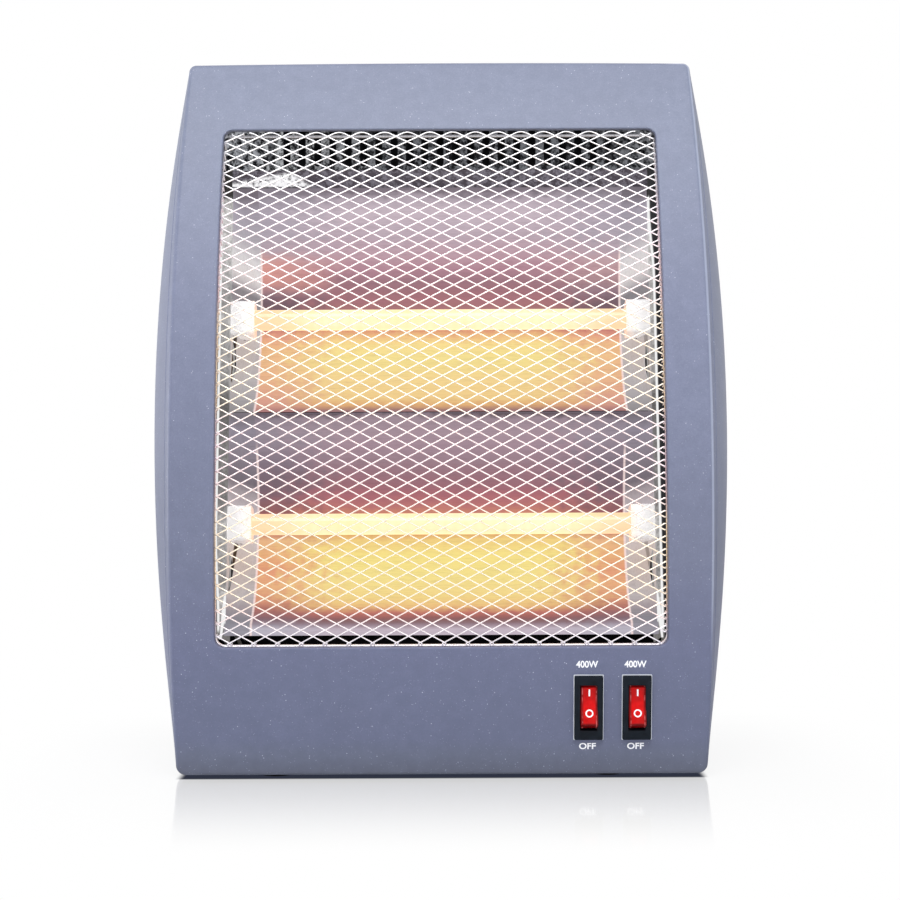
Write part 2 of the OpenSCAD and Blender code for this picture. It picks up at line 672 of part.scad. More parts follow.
module grille_mesh() {
  layers = [for (side = [0, 1], i = [-mesh_cols - 1:mesh_rows + mesh_cols + 1])
    let (k = side == 0 ? mesh_slope : -mesh_slope)
    [k, wire_path(mesh_first + i * row_h - k * mesh_left, k,
                  mesh_d + wire_t / 2 + side * (wire_t + layer_gap))]];
  wires = [for (w = layers) if (len(w[1]) > 0) w];
  sizes = [for (w = wires) len(w[1]) * 4];
  starts = [for (i = 0, n = 0; i < len(wires); n = n + sizes[i], i = i + 1) n];
  color(bright_steel) polyhedron(
    [for (w = wires) each wire_points(w[1], w[0])],
    [for (i = [0:len(wires) - 1]) each wire_faces(len(wires[i][1]), starts[i])]);
}

// The border wire runs round outside the turned-back ends
module grille_border() {
  g = mesh_in + (wire_t + border_t) / 2 + 0.1 - play - wire_t / 2;
  d = mesh_end_d - border_t / 2;
  r = mesh_r + g;
  x = mesh_half + g;
  low = mesh_low - g;
  high = mesh_high + g;
  side = [for (i = [1:13]) mix(low + r, high - r, i / 14)];
  half = concat(
    [for (i = [0:4]) let (a = 22.5 * i - 90) [x - r + r * cos(a), low + r + r * sin(a)]],
    [for (s = side) [x, s]],
    [for (i = [0:4]) let (a = 22.5 * i) [x - r + r * cos(a), high - r + r * sin(a)]]);
  loop = concat(half, [for (i = [len(half) - 1:-1:0]) [-half[i].x, half[i].y]]);
  centre = [0, (low + high) / 2];
  rings = [for (j = [0:5]) let (a = 60 * j)
    [for (i = [0:len(loop) - 1])
       let (n = len(loop), t = unit(loop[(i + 1) % n] - loop[(i + n - 1) % n]),
            p = loop[i] + border_t / 2 * cos(a) * [t.y, -t.x])
       over_bow(p.x, p.y, d + border_t / 2 * sin(a))]];
  color(bright_steel) skin(rings);
}

// ---- Heating block ----

function trough_r(h) = ((h / 2) ^ 2 + trough_d ^ 2) / (2 * trough_d);
// Half the trough's width at y, between its splayed ends
function splay_x(y) = mix(mouth_w, back_w, (y + mouth_d) / trough_d) / 2;

// The inside of a trough from z0 to z1, less a skin of thickness t
module trough_space(z0, z1, t) intersection() {
  translate([deep_d - trough_r(z1 - z0), (z0 + z1) / 2]) circle(r = trough_r(z1 - z0) - t, $fn = 96);
  translate([-mouth_d, z0]) square([trough_d, z1 - z0]);
}

// A prism between the splayed ends, grown by g, from z0 to z1
module splay_prism(z0, z1, g) translate([0, 0, z0]) linear_extrude(z1 - z0) polygon([
  for (s = [-1, 1], y = [s, -s] * (trough_d + 4))
    let (at = y < 0 ? -mouth_d - 4 : deep_d + 4) [s * (splay_x(at) + g), at]]);

module reflector(z0, z1, lip_low, lip_high) color(bright_steel) leaned() intersection() {
  along_x(mouth_w + 20) union() {
    difference() {
      translate([deep_d - trough_r(z1 - z0), (z0 + z1) / 2])
        circle(r = trough_r(z1 - z0) + sheet_t, $fn = 96);
      translate([deep_d - trough_r(z1 - z0), (z0 + z1) / 2]) circle(r = trough_r(z1 - z0), $fn = 96);
      translate([-mouth_d - 300, z0 - 200]) square([300, z1 - z0 + 400]);
    }
    if (lip_high > 0) translate([-mouth_d - sheet_t, z1 - lip_lap]) square([sheet_t + lip_lap, lip_high]);
    if (lip_low > 0) translate([-mouth_d - sheet_t, z0 - lip_low + lip_lap])
      square([sheet_t + lip_lap, lip_low]);
  }
  splay_prism(z0 - 40, z1 + 40, 0.95);
}

low_z0 = -low_reach;
low_z1 = meet_reach - play;
high_z0 = low_z1 + play + 2.5 * sheet_t;
high_z1 = tube_gap + high_reach;

module reflector_upper() reflector(high_z0, high_z1, 0, flange_h);
module reflector_lower() reflector(low_z0, low_z1, lip_h, 0);

// An end plate closes a trough: it has a notch for the cap and a curved vent under the tube
module end_plate(side, z, z0, z1) color(steel) leaned() difference() {
  intersection() {
    along_x(mouth_w + 20) trough_space(z0, z1, play);
    translate([0, 0, z0]) linear_extrude(z1 - z0) polygon([
      for (q = [[-mouth_d, slip], [deep_d, slip], [deep_d, slip + sheet_t], [-mouth_d, slip + sheet_t]])
        [side * (splay_x(q[0]) + q[1]), q[0]]]);
  }
  block([-body_w / 2, -mouth_d - 1, z - cap_h / 2 - play],
        [body_w / 2, cap_d / 2 + play, z + cap_h / 2 + play]);
  translate([0, 0, z - crescent_drop]) along_x(body_w) crescent();
}

// A vent like a new moon that opens towards the trough's mouth
module crescent() intersection() {
  difference() {
    translate([crescent_in - mouth_d - crescent_r, 0]) circle(r = crescent_r);
    translate([crescent_in - mouth_d - crescent_r - crescent_w, 0]) circle(r = crescent_r);
  }
  translate([crescent_rim - mouth_d, -crescent_r]) square(2 * crescent_r);
}

// A bracket carries the caps, the troughs and the end plates on one side
module side_bracket(side) color(steel) leaned() difference() {
  translate([0, 0, bracket_low]) linear_extrude(bracket_high - bracket_low)
    polygon([for (p = [[0, -bracket_front], [bracket_reach, -bracket_front],
      [bracket_reach, bracket_t - bracket_front], [bracket_t, bracket_t - bracket_front],
      [bracket_t, bracket_back], [0, bracket_back]]) [side * (web_x + p.x), p.y]]);
  for (z = bracket_holes) translate([side * bracket_hole_x, 0, z])
    rod_y(hole_r, -bracket_front - 1, 0);
  for (z = [0, tube_gap]) {
    translate([0, 0, z - lead_drop]) rod_x(lead_r + 1, -body_w / 2, body_w / 2);
    translate([0, 0, z + cap_screw_up]) rod_x(hole_r, -body_w / 2, body_w / 2);
  }
}

module quartz_tube(z) color([1, 0.85, 0.55, 0.6]) leaned() translate([0, 0, z]) difference() {
  rod_x(tube_dia / 2, -cap_in - cap_bore_d + 1, cap_in + cap_bore_d - 1);
  rod_x(tube_dia / 2 - tube_wall, -cap_out, cap_out);
}

module heating_coil(z) color("orange") leaned() translate([0, 0, z])
  rod_x(coil_dia / 2, -cap_in - 4, cap_in + 4);

module ceramic_cap(side, z) color(ceramic_white) leaned() translate([0, 0, z])
  mirror([side > 0 ? 0 : 1, 0, 0]) difference() {
    translate([cap_in, 0, 0]) rotate([90, 0, 90]) linear_extrude(cap_out - cap_in)
      polygon(round_box(-cap_d / 2, cap_d / 2, -cap_h / 2, cap_h / 2, cap_r));
    rod_x(tube_dia / 2 + play, cap_in - 1, cap_in + cap_bore_d);
    translate([0, 0, -lead_drop]) rod_x(lead_r + play, cap_in, cap_out + 1);
    translate([0, 0, cap_screw_up]) rod_x(pilot_r, cap_out - 4, cap_out + 1);
  }

module heat_shield() color(steel) difference() {
  along_y(shield_y, shield_y + sheet_t) pierced(concat(
    [round_box(-shield_x - shield_edge, shield_x + shield_edge, shield_low, shield_high, 3)],
    [for (i = [-shield_cols:shield_cols])
      slot_points(i * shield_pitch, shield_high - shield_slot_drop - shield_slot_h,
        shield_high - shield_slot_drop, shield_slot_r)]));
  for (x = [-1, 1] * shield_x, z = shield_holes) translate([x, 0, z])
    rod_y(hole_r, shield_y - 1, shield_y + 5);
}

// ---- Switches ----

module switch_housing(i) color(black) at_switch(i) difference() {
  union() {
    along_y(-bezel_t, -0.05)
      polygon(round_box(-bezel_w / 2, bezel_w / 2, -bezel_h / 2, bezel_h / 2, 0.6));
    block([-housing_w / 2, -0.5, -housing_h / 2], [housing_w / 2, housing_d, housing_h / 2]);
  }
  block([-slot_w / 2, -bezel_t - 1, -slot_h / 2], [slot_w / 2, housing_floor, slot_h / 2]);
  translate([0, pivot_in, 0])
    rod_x(pin_r + pin_play, -pin_reach - 0.2, pin_reach + 0.2);
  for (z = [-1, 0, 1] * terminal_pitch)
    block([-terminal_t / 2 - 0.1, housing_floor - 1, z - terminal_w / 2 - 0.1],
          [terminal_t / 2 + 0.1, housing_d + 1, z + terminal_w / 2 + 0.1]);
}

// A rocker with its upper end pressed in
module rocker(i) color([0.85, 0.1, 0.08]) at_switch(i) translate([0, pivot_in, 0])
  rotate([-rocker_swing, 0, 0]) {
    along_x(rocker_w) intersection() {
      circle(r = rocker_r, $fn = 96);
      polygon([[-pivot_in - 1.2, 0], [-pivot_in - 1.2 - 14 * tan(rocker_swing), 14],
        [-1.5, 14], [3.5, 3.5], [3.5, -3.5], [-1.5, -14],
        [-pivot_in - 1.2 - 14 * tan(rocker_swing), -14]]);
    }
    rod_x(pin_r, -pin_reach, pin_reach);
  }

module switch_terminals(i) color("gold") at_switch(i) for (z = [-1, 0, 1] * terminal_pitch)
  block([-terminal_t / 2, housing_floor - 0.4, z - terminal_w / 2],
        [terminal_t / 2, terminal_out, z + terminal_w / 2]);

// ---- Tip-over switch ----

module tip_switch_body() color(black) translate([0, tip_y, 0]) difference() {
  block([-tip_s / 2, -tip_s / 2, floor_z + 0.05], [tip_s / 2, tip_s / 2, tip_top]);
  translate([0, 0, tip_cavity_low]) cylinder(r = tip_cavity_r, h = tip_cavity_top - tip_cavity_low);
  cylinder(r = rod_bore_r, h = tip_cavity_low + 1);
}

module tip_plunger() color("white") translate([0, tip_y, 0]) {
  cylinder(r = rod_r + 2.6, h = button_t);
  cylinder(r = rod_r, h = collar_z + 1);
  translate([0, 0, collar_z]) cylinder(r = collar_r, h = collar_t);
  translate([0, 0, collar_z]) cylinder(r = rod_r - 0.6, h = collar_t + 4);
}

module plunger_spring() {
  low = collar_z + collar_t + spring_wire / 2 + 0.1;
  high = tip_cavity_top - spring_wire / 2 - 0.1;
  r = collar_r - spring_wire / 2 - 0.1;
  steps = 8 * spring_turns;
  color("silver") tube([for (i = [0:steps]) let (a = 360 * i / 8)
    [r * cos(a), tip_y + r * sin(a), mix(low, high, i / steps)]], spring_wire / 2, 6, [0, 0, 1]);
}

// ---- Base fittings ----

module foot(x, y) color([0.12, 0.12, 0.12]) translate([x, y, 0]) {
  cylinder(r1 = foot_dia / 2 - 1, r2 = foot_dia / 2, h = 1);
  translate([0, 0, 1]) cylinder(r = foot_dia / 2, h = foot_h - 1);
  cylinder(r = foot_hole_r - 0.1, h = floor_z + 0.5);
  translate([0, 0, floor_z + 0.1]) cylinder(r1 = foot_hole_r + 1, r2 = foot_hole_r - 1, h = 2);
}

module cord_gland() color(black) translate([gland_x, 0, gland_z]) difference() {
  union() {
    rod_y(gland_r, panel_y - gland_in, panel_y + panel_t + slip);
    rod_y(gland_r + gland_flange, panel_y + panel_t + seat, back_y - play);
    rod_y(gland_r + gland_flange, panel_y - gland_nut_t, panel_y - slip);
  }
  rod_y(gland_bore / 2, panel_y - far, back_y);
}

block_z = floor_z + block_post + slip;
module terminal_block() color(ceramic_white) translate([block_x, block_y, block_z]) difference() {
  block([-block_size.x / 2, -block_size.y / 2, 0], [block_size.x / 2, block_size.y / 2, block_size.z]);
  for (x = [-1, 0, 1] * block_pole) translate([x, 0, block_size.z / 2 + 0.5]) {
    rod_y(lead_r + 0.9, -block_size.y, block_size.y);
    cylinder(r = 2.4, h = block_size.z);
  }
}

// ---- Leads ----

// A point of the heating block's frame, in the heater's own
function from_leaned(p) = [p.x, tube_y + p.y * cos(lean) + p.z * sin(lean),
  tube_z + p.z * cos(lean) - p.y * sin(lean)];
// A point of a switch's frame, in the heater's own
function from_switch(i, p) = [switch_x + i * switch_pitch + p.x,
  face_y(switch_z) + p.y * cos(switch_lean) - p.z * sin(switch_lean),
  switch_z + p.z * cos(switch_lean) + p.y * sin(switch_lean)];
// The first stretch of a lead, out of a cap and clear of its bracket
function cap_exit(side, z) = [for (x = [cap_out - 3, web_x + 4, web_x + 9])
  from_leaned([side * x, 0, z - lead_drop - (x > web_x + 5 ? 3 : 0)])];

// Just in front of a terminal of the block
function at_terminal(i) = [block_x + i * block_pole, block_y - block_size.y / 2 - play,
  block_z + block_size.z / 2 + 0.5];

// A point beside a bracket: out from its web, then deep and high in the heating block's frame
function beside(side, out, y, z) = from_leaned([side * (web_x + out), y, z]);
function at_switch_terminal(i, z) = from_switch(i, [0, terminal_out + 2 * play, z]);

module lead(points) color("white") tube(through(points, 3), lead_r, 8, [0, 0, 1]);

module lead_upper() lead(concat(cap_exit(1, tube_gap),
  [beside(1, 12, 18, 63), beside(1, 12, 35, -12), beside(1, 8, 46, -58),
   from_switch(1, [9, 53, -4]), at_switch_terminal(1, 0)]));
module lead_lower() lead(concat(cap_exit(1, 0),
  [beside(1, 9, 15, -43), from_switch(0, [38, 49, 13]), from_switch(0, [18, 49, 0]),
   at_switch_terminal(0, 0)]));
module lead_return() lead(concat(cap_exit(-1, tube_gap),
  [beside(-1, 12, 14, 61), beside(-1, 12, 33, -12), beside(-1, -8, 52, -69),
   at_terminal(-1) + [-7, -5, 4], at_terminal(-1)]));
module lead_link() lead(concat(cap_exit(-1, 0),
  [beside(-1, 8, 19, -45), beside(-1, -11, 36, -79), at_terminal(0) + [-8, -23, 6],
   at_terminal(0)]));
module lead_supply() lead([at_terminal(1), at_terminal(1) + [4, -16, -4],
  [-tip_s / 2 - 6, tip_y - tip_s / 2 - 8, floor_z + 10],
  [10, tip_y - tip_s / 2 - 10, floor_z + 11], from_switch(1, [-49, 38, -22]),
  from_switch(1, [-6, 37, -12]), at_switch_terminal(1, -terminal_pitch)]);

// ---- Screws ----

// A pan-head screw: its head stands on the origin towards +Z and its shank goes down
module screw(length) {
  difference() {
    cylinder(r1 = head_r - slip, r2 = 1.4 * screw_r, h = 1.6);
    for (a = [0, 90]) rotate(a) block([-1.6, -0.3, 0.9], [1.6, 0.3, 2]);
  }
  translate([0, 0, -length]) cylinder(r = screw_r, h = length + 0.5);
}

module panel_screws() color(steel) panel_screw_places()
  translate([0, panel_y + panel_t + seat, 0]) rotate([-90, 0, 0]) screw(panel_t + ledge_t + 2);
module shield_screws() color(steel) for (x = [-1, 1] * shield_x, z = shield_holes)
  translate([x, shield_y - seat, z]) rotate([90, 0, 0]) screw(8);
module bracket_screws() color(steel) leaned() for (x = [-1, 1] * bracket_hole_x, z = bracket_holes)
  translate([x, bracket_t - bracket_front + seat, z]) rotate([-90, 0, 0]) screw(8);
module cap_screws() color(steel) leaned() for (s = [-1, 1], z = [0, tube_gap])
  translate([s * (web_x + bracket_t + seat), 0, z + cap_screw_up]) rotate([0, s * 90, 0]) screw(4.5);
module base_screws() color(steel) for (x = base_screw_x)
  translate([x, base_screw_y, base_z + head_sink - seat]) rotate([180, 0, 0]) screw(5);

front_shell();
rear_shell();
base_tray();
rear_panel();
grip_cup();
heat_shield();
grille_mesh();
grille_border();
reflector_upper();
reflector_lower();
end_plate(-1, tube_gap, high_z0, high_z1);  // end_plate_upper_left
end_plate(1, tube_gap, high_z0, high_z1);  // end_plate_upper_right
end_plate(-1, 0, low_z0, low_z1);  // end_plate_lower_left
end_plate(1, 0, low_z0, low_z1);  // end_plate_lower_right
side_bracket(-1);  // side_bracket_left
side_bracket(1);  // side_bracket_right
quartz_tube(tube_gap);  // quartz_tube_upper
quartz_tube(0);  // quartz_tube_lower
heating_coil(tube_gap);  // heating_coil_upper
heating_coil(0);  // heating_coil_lower
ceramic_cap(-1, tube_gap);  // ceramic_cap_upper_left
ceramic_cap(1, tube_gap);  // ceramic_cap_upper_right
ceramic_cap(-1, 0);  // ceramic_cap_lower_left
ceramic_cap(1, 0);  // ceramic_cap_lower_right
switch_housing(0);  // switch_housing_left
switch_housing(1);  // switch_housing_right
rocker(0);  // rocker_left
rocker(1);  // rocker_right
switch_terminals(0);  // switch_terminals_left
switch_terminals(1);  // switch_terminals_right
tip_switch_body();
tip_plunger();
plunger_spring();
foot(-foot_x, foot_y[0]);  // foot_front_left
foot(foot_x, foot_y[0]);  // foot_front_right
foot(-foot_x, foot_y[1]);  // foot_rear_left
foot(foot_x, foot_y[1]);  // foot_rear_right
cord_gland();
terminal_block();
lead_upper();
lead_lower();
lead_return();
lead_link();
lead_supply();
panel_screws();
shield_screws();
bracket_screws();
cap_screws();
base_screws();
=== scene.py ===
"""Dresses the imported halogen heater: fine casing mouldings, round grille wires, glowing tubes in
polished troughs, printed switches, and a material for every piece.

Shapes are worked out in millimetres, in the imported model's own frame, and turned into metres
where a mesh is made.
"""

import math

import bpy
from mathutils import Matrix, Vector

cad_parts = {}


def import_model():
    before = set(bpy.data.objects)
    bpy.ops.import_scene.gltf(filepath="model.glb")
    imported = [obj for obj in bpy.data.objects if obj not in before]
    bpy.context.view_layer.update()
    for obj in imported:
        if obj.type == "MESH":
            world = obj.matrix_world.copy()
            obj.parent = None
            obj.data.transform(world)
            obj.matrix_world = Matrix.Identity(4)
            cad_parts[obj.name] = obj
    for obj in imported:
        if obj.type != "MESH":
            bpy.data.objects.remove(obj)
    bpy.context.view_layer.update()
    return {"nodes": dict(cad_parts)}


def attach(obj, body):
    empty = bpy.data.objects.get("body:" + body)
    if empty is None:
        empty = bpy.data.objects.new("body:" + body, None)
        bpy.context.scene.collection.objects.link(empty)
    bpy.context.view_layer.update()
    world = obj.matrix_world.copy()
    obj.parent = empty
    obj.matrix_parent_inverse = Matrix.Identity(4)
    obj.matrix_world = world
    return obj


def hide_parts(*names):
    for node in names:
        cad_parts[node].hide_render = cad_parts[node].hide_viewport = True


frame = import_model()
nodes = frame["nodes"]
MM = 0.001

# ---- Sizes in millimetres ----
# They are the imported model's own, but for the grille, whose wires lie 1 mm nearer the face and make
# one row more, and for the lower reflector's lip, which is 1.6 mm longer.

BODY_W, BODY_H, TOP_CROWN = 302, 374.5, 0.8
FRONT_Y, BACK_Y, BASE_Z = -66, 66, 2
FACE_W, BELLY_Z, FACE_BOW_R, SIDE_BOW_R = 274, 183, 6500, 1260
FRONT_R, FRONT_Z = 520, 110
BULGE_AT, BULGE_LEFT = 0.42, 0.45
WALL, TOP_CORNER_R, LOW_CORNER_R, LEAST_CORNER = 2.6, 3.4, 5, 0.5
REAR_CORNER_R, REAR_ROUND, EDGE_R = 30, 14, 1.6
SEAM_D, SEAM_GAP, TONGUE_D, TONGUE_T, PLAY = 5, 0.4, 7, 1.6, 0.3
WINDOW_W, WINDOW_LOW, WINDOW_HIGH, WINDOW_R, WINDOW_EDGE = 228, 67.6, 336, 5, 0.9
LIP_D, LIP_T = 6, 1.8
RIM_C, REBATE_D, LEDGE_W, LEDGE_T, LEG_X, TONGUE_SHARE = 16, 4.7, 7, 2.4, 100, 0.15
MESH_ROWS, MESH_COLS, WIRE_T, MESH_D, MESH_END_D = 42, 18, 0.7, 1.2, 8.8
LEAN = math.radians(11)
TUBE_Y, TUBE_Z, TUBE_GAP, CAP_IN = -26, 128, 110, 98.5
MOUTH_W, BACK_W, MOUTH_D, DEEP_D, SHEET_T = 220, 196, 8, 22, 0.6
LOW_SPAN, FLANGE_H, LIP_H = (-52.5, 57.2), 10, 6.6
HIGH_SPAN = (59.0, (WINDOW_HIGH - 20.5 - TUBE_Z) / math.cos(LEAN) - FLANGE_H)
SWITCH_X, SWITCH_PITCH, SWITCH_Z = 74.3, 24.3, 36.6
BEZEL_W, BEZEL_H, BEZEL_SHARE, PIVOT_IN = 15, 33, 0.96, 4
CUT_OUT = (BEZEL_W - 1.4, 30, BEZEL_H - 3)
ROCKER_SWING, ROCKER_OUT, ON_MARK_Z, OFF_MARK_Z = math.radians(10), 1.2, 6.8, -3.6
PRINT_T, LINE_Y, MARK_Y = 0.12, (-0.28, 0.2), (-0.08, 0.1)

# Printed words: where their middle is from the switch's middle and over the floor, how wide and high
LEGENDS = {"power_legend_": ("400W", -1.1, 58.6, 11.1, 3.5), "off_legend_": ("OFF", -0.7, 16.6, 8.5, 3.3)}

# The photograph's camera, in millimetres: 0.95 m in front of the face
CAMERA_PLACE, CAMERA_ROLL = (4.8, -1019, 166.5), math.radians(0.25)
FOCAL_LENGTH, SENSOR_W = 76.1, 36

# ---- Small tools ----


def mix(a, b, f):
    return a + (b - a) * f


def blend_points(a, b, f):
    return tuple(mix(p, q, f) for p, q in zip(a, b))


def steps(low, high, count):
    """count + 1 even values from low to high."""
    return [mix(low, high, i / count) for i in range(count + 1)]


def shade(red, green, blue):
    """A colour as it shows on a screen, 0 to 255, as the light that it stands for."""
    return tuple(((c / 255 + 0.055) / 1.055) ** 2.4 if c > 10 else c / 3295 for c in (red, green, blue))


# ---- Materials ----


class Socket:
    """A node's output. Sums written with it add Math nodes."""

    def __init__(self, nodes, output):
        self.nodes, self.output = nodes, output

    def sum(self, operation, *terms):
        return self.nodes.add("Math", dict(enumerate(terms)), operation=operation)

    def __add__(self, other):
        return self.sum("ADD", self, other)

    def __sub__(self, other):
        return self.sum("SUBTRACT", self, other)

    def __rsub__(self, other):
        return self.sum("SUBTRACT", other, self)

    def __mul__(self, other):
        return self.sum("MULTIPLY", self, other)

    def __truediv__(self, other):
        return self.sum("DIVIDE", self, other)

    def __pow__(self, other):
        return self.sum("POWER", self, other)

    def __abs__(self):
        return self.sum("ABSOLUTE", self)

    __radd__, __rmul__ = __add__, __mul__

    def at_least(self, other):
        return self.sum("MAXIMUM", self, other)

    def at_most(self, other):
        return self.sum("MINIMUM", self, other)

    def ramp(self, start, end):
        """0 before start, 1 after end, with a soft way between."""
        inputs = {"Value": self, "From Min": start, "From Max": end}
        return self.nodes.add("MapRange", inputs, interpolation_type="SMOOTHSTEP")


class Nodes:
    """A node tree, with the ways to add to it."""

    def __init__(self, tree):
        self.tree = tree

    def connect(self, socket, value):
        if isinstance(value, Socket):
            self.tree.links.new(value.output, socket)
        elif hasattr(value, "__len__") and len(value) == 3 and socket.type == "RGBA":
            socket.default_value = (*value, 1)
        else:
            socket.default_value = value

    def add(self, kind, inputs=(), output=0, stops=(), **settings):
        node = self.tree.nodes.new("ShaderNode" + kind)
        for name, value in settings.items():
            setattr(node, name, value)
        for i, (place, colour) in enumerate(stops):
            stop = node.color_ramp.elements[i] if i < 2 else node.color_ramp.elements.new(place)
            stop.position, stop.color = place, (*colour, 1)
        for name, value in dict(inputs).items():
            self.connect(node.inputs[name], value)
        return Socket(self, node.outputs[output])

    def place(self):
        return self.add("TexCoord", output="Object")

    def axes(self):
        """The place's x, y and z in millimetres."""
        place = self.place()
        return [self.add("SeparateXYZ", {0: place}, output=i) * (1 / MM) for i in range(3)]

    def noise(self, size, detail=2, roughness=0.5, stretch=(1, 1, 1)):
        """Cloudy 0 to 1 whose clouds are about size millimetres across, longer along stretch."""
        place = self.add("VectorMath", {0: self.place(), 1: [1 / s for s in stretch]},
                         operation="MULTIPLY")
        inputs = {"Vector": place, "Scale": 1 / (size * MM), "Detail": detail, "Roughness": roughness}
        return self.add("TexNoise", inputs)

    def specks(self, size, share):
        """1 on a few round specks, 0 elsewhere. share is how much of each cell a speck fills."""
        cell = self.add("TexVoronoi", {"Vector": self.place(), "Scale": 1 / (size * MM)})
        return 1 - cell.ramp(share * 0.6, share)

    def mixed(self, factor, a, b, blend="MIX"):
        inputs = {0: factor, 6: a, 7: b}
        return self.add("Mix", inputs, output=2, data_type="RGBA", blend_type=blend)


class Finish(Nodes):
    """A material, which keeps the name of one of the record's slots."""

    def __init__(self, name, slot, **constants):
        self.material, self.slot = bpy.data.materials.new(name), slot
        self.material.use_nodes = True
        super().__init__(self.material.node_tree)
        self.surface = self.tree.nodes["Principled BSDF"]
        for socket, value in constants.items():
            self.set(socket.replace("_", " ").title().replace("Ior", "IOR"), value)

    def set(self, socket, value):
        self.connect(self.surface.inputs[socket], value)

    def bump(self, height, distance, strength=1.0):
        """Raises the surface by height, of which 1 stands for distance millimetres."""
        inputs = {"Height": height, "Distance": distance * MM, "Strength": strength}
        self.set("Normal", self.add("Bump", inputs))

    def light_at(self, height, stops):
        """The painted light at a height, from stops of height in millimetres and the colour on screen."""
        low, high = stops[0][0], stops[-1][0]
        return self.add("ValToRGB", {"Fac": (height - low) / (high - low)},
                        stops=[((h - low) / (high - low), shade(*c)) for h, c in stops])

    def on_front(self, light):
        """The painted light on a sheet's front. Its back gets next to none."""
        normal = self.add("NewGeometry", output="Normal")
        facing = 0 - self.add("SeparateXYZ", {0: normal}, output=1)
        return self.mixed(facing.ramp(-0.1, 0.1), shade(10, 10, 11), light)


def lean_height(y, z):
    """Height over the lower tube's axis, along the leaning troughs."""
    return (y - TUBE_Y) * math.sin(LEAN) + (z - TUBE_Z) * math.cos(LEAN)


# Painted shade on the casing: how much of its colour is left at a height over the floor in millimetres
CASING_PAINTED_SHADE = [
    (0, (0.474, 0.474, 0.43)), (6, (0.51, 0.512, 0.5)), (13, (0.57, 0.58, 0.585)),
    (21, (0.586, 0.596, 0.652)), (51, (0.595, 0.605, 0.675)), (66, (0.612, 0.615, 0.692)),
    (86, (0.641, 0.641, 0.7)), (111, (0.7, 0.7, 0.724)), (141, (0.726, 0.726, 0.745)),
    (181, (0.79, 0.79, 0.806)), (217, (0.809, 0.809, 0.825)), (242, (0.826, 0.826, 0.842)),
    (282, (0.856, 0.86, 0.86)), (339, (0.87, 0.88, 0.855))]


def casing_paint():
    """Pale violet-blue with fine flakes, darkened towards the floor by painted shade, with a painted
    highlight on the right edge of the face, painted shade on its inner side, and painted light on the
    inside of the upper corners."""
    f = Finish("casing_paint", "casing_plastic", coat_roughness=0.3, specular_ior_level=0.3,
               emission_strength=1)
    x, y, z = f.axes()
    mottle, cloud = f.noise(7, 4, 0.6), f.noise(70, 2)
    colour = f.mixed(mottle.ramp(0.3, 0.7), shade(131, 138, 164), shade(139, 146, 173))
    colour = f.mixed(cloud.ramp(0.25, 0.75) * 0.4, colour, shade(131, 137, 162))
    # painted shade: the casing darkens towards the floor
    painted_shade_by_height = f.add("ValToRGB", {"Fac": z / BODY_H}, stops=[(h / BODY_H, share) for h, share in CASING_PAINTED_SHADE])
    colour = f.mixed(1, colour, painted_shade_by_height, "MULTIPLY")
    colour = f.mixed(f.noise(0.8, 2).ramp(0.35, 0.65) * 0.2, colour, shade(96, 101, 124))
    flakes = f.specks(1.1, 0.24) * f.noise(2.2).ramp(0.5, 0.62)
    chips = f.specks(2.4, 0.12) * f.noise(7).ramp(0.5, 0.6)
    colour = f.mixed(flakes * 0.34, colour, shade(178, 184, 206))
    colour = f.mixed(chips * 0.7, colour, shade(214, 219, 236))

    along_bow = z - FRONT_Z
    behind = y - FRONT_Y - FRONT_R + (FRONT_R ** 2 - along_bow * along_bow) ** 0.5
    # painted highlight on the rounded right edge of the face, fading out low down
    edge = behind.ramp(0.1, 0.4) * (1 - behind.ramp(0.9, 1.5)) * x.ramp(118, 128) * z.ramp(50, 100)
    colour = f.mixed(edge * 0.5, colour, shade(190, 198, 220))

    normal = f.add("NewGeometry", output="Normal")
    middle = (0, 0, BODY_H / 2 * MM)
    from_middle = f.add("VectorMath", {0: f.place(), 1: middle}, operation="SUBTRACT")
    facing_out = f.add("VectorMath", {0: normal, 1: from_middle}, output=1, operation="DOT_PRODUCT")
    # painted shade: the casing's inner side is darkened
    inner_side = (1 - facing_out.ramp(-0.004, 0.004)) * behind.ramp(7, 9)
    colour = f.mixed(inner_side * 0.92, colour, shade(8, 9, 12))
    # painted light: a blotchy glow on the inside of the upper corners
    corner = inner_side * abs(x).ramp(90, 106) * (1 - x.ramp(-10, 10) * 0.45) * z.ramp(312, 320)
    corner_light = corner * f.noise(3, 5, 0.75).ramp(0.42, 0.6)

    f.set("Base Color", colour)
    f.set("Emission Color", f.mixed(corner_light, (0, 0, 0), shade(158, 160, 166)))
    f.set("Roughness", 0.42 + mottle * 0.08 - flakes * 0.12)
    f.set("Coat Weight", 0.05 + cloud * 0.05)
    f.bump(f.noise(0.9, 3, 0.6) + flakes * 0.5, 0.01, 0.5)
    return f


def grip_paint():
    f = Finish("grip_paint", "casing_plastic")
    f.set("Base Color", f.mixed(f.noise(6, 4).ramp(0.3, 0.7), shade(126, 132, 155), shade(140, 146, 170)))
    f.set("Roughness", 0.5 + f.noise(2) * 0.15)
    f.bump(f.noise(0.7, 3, 0.6), 0.02, 0.7)
    return f


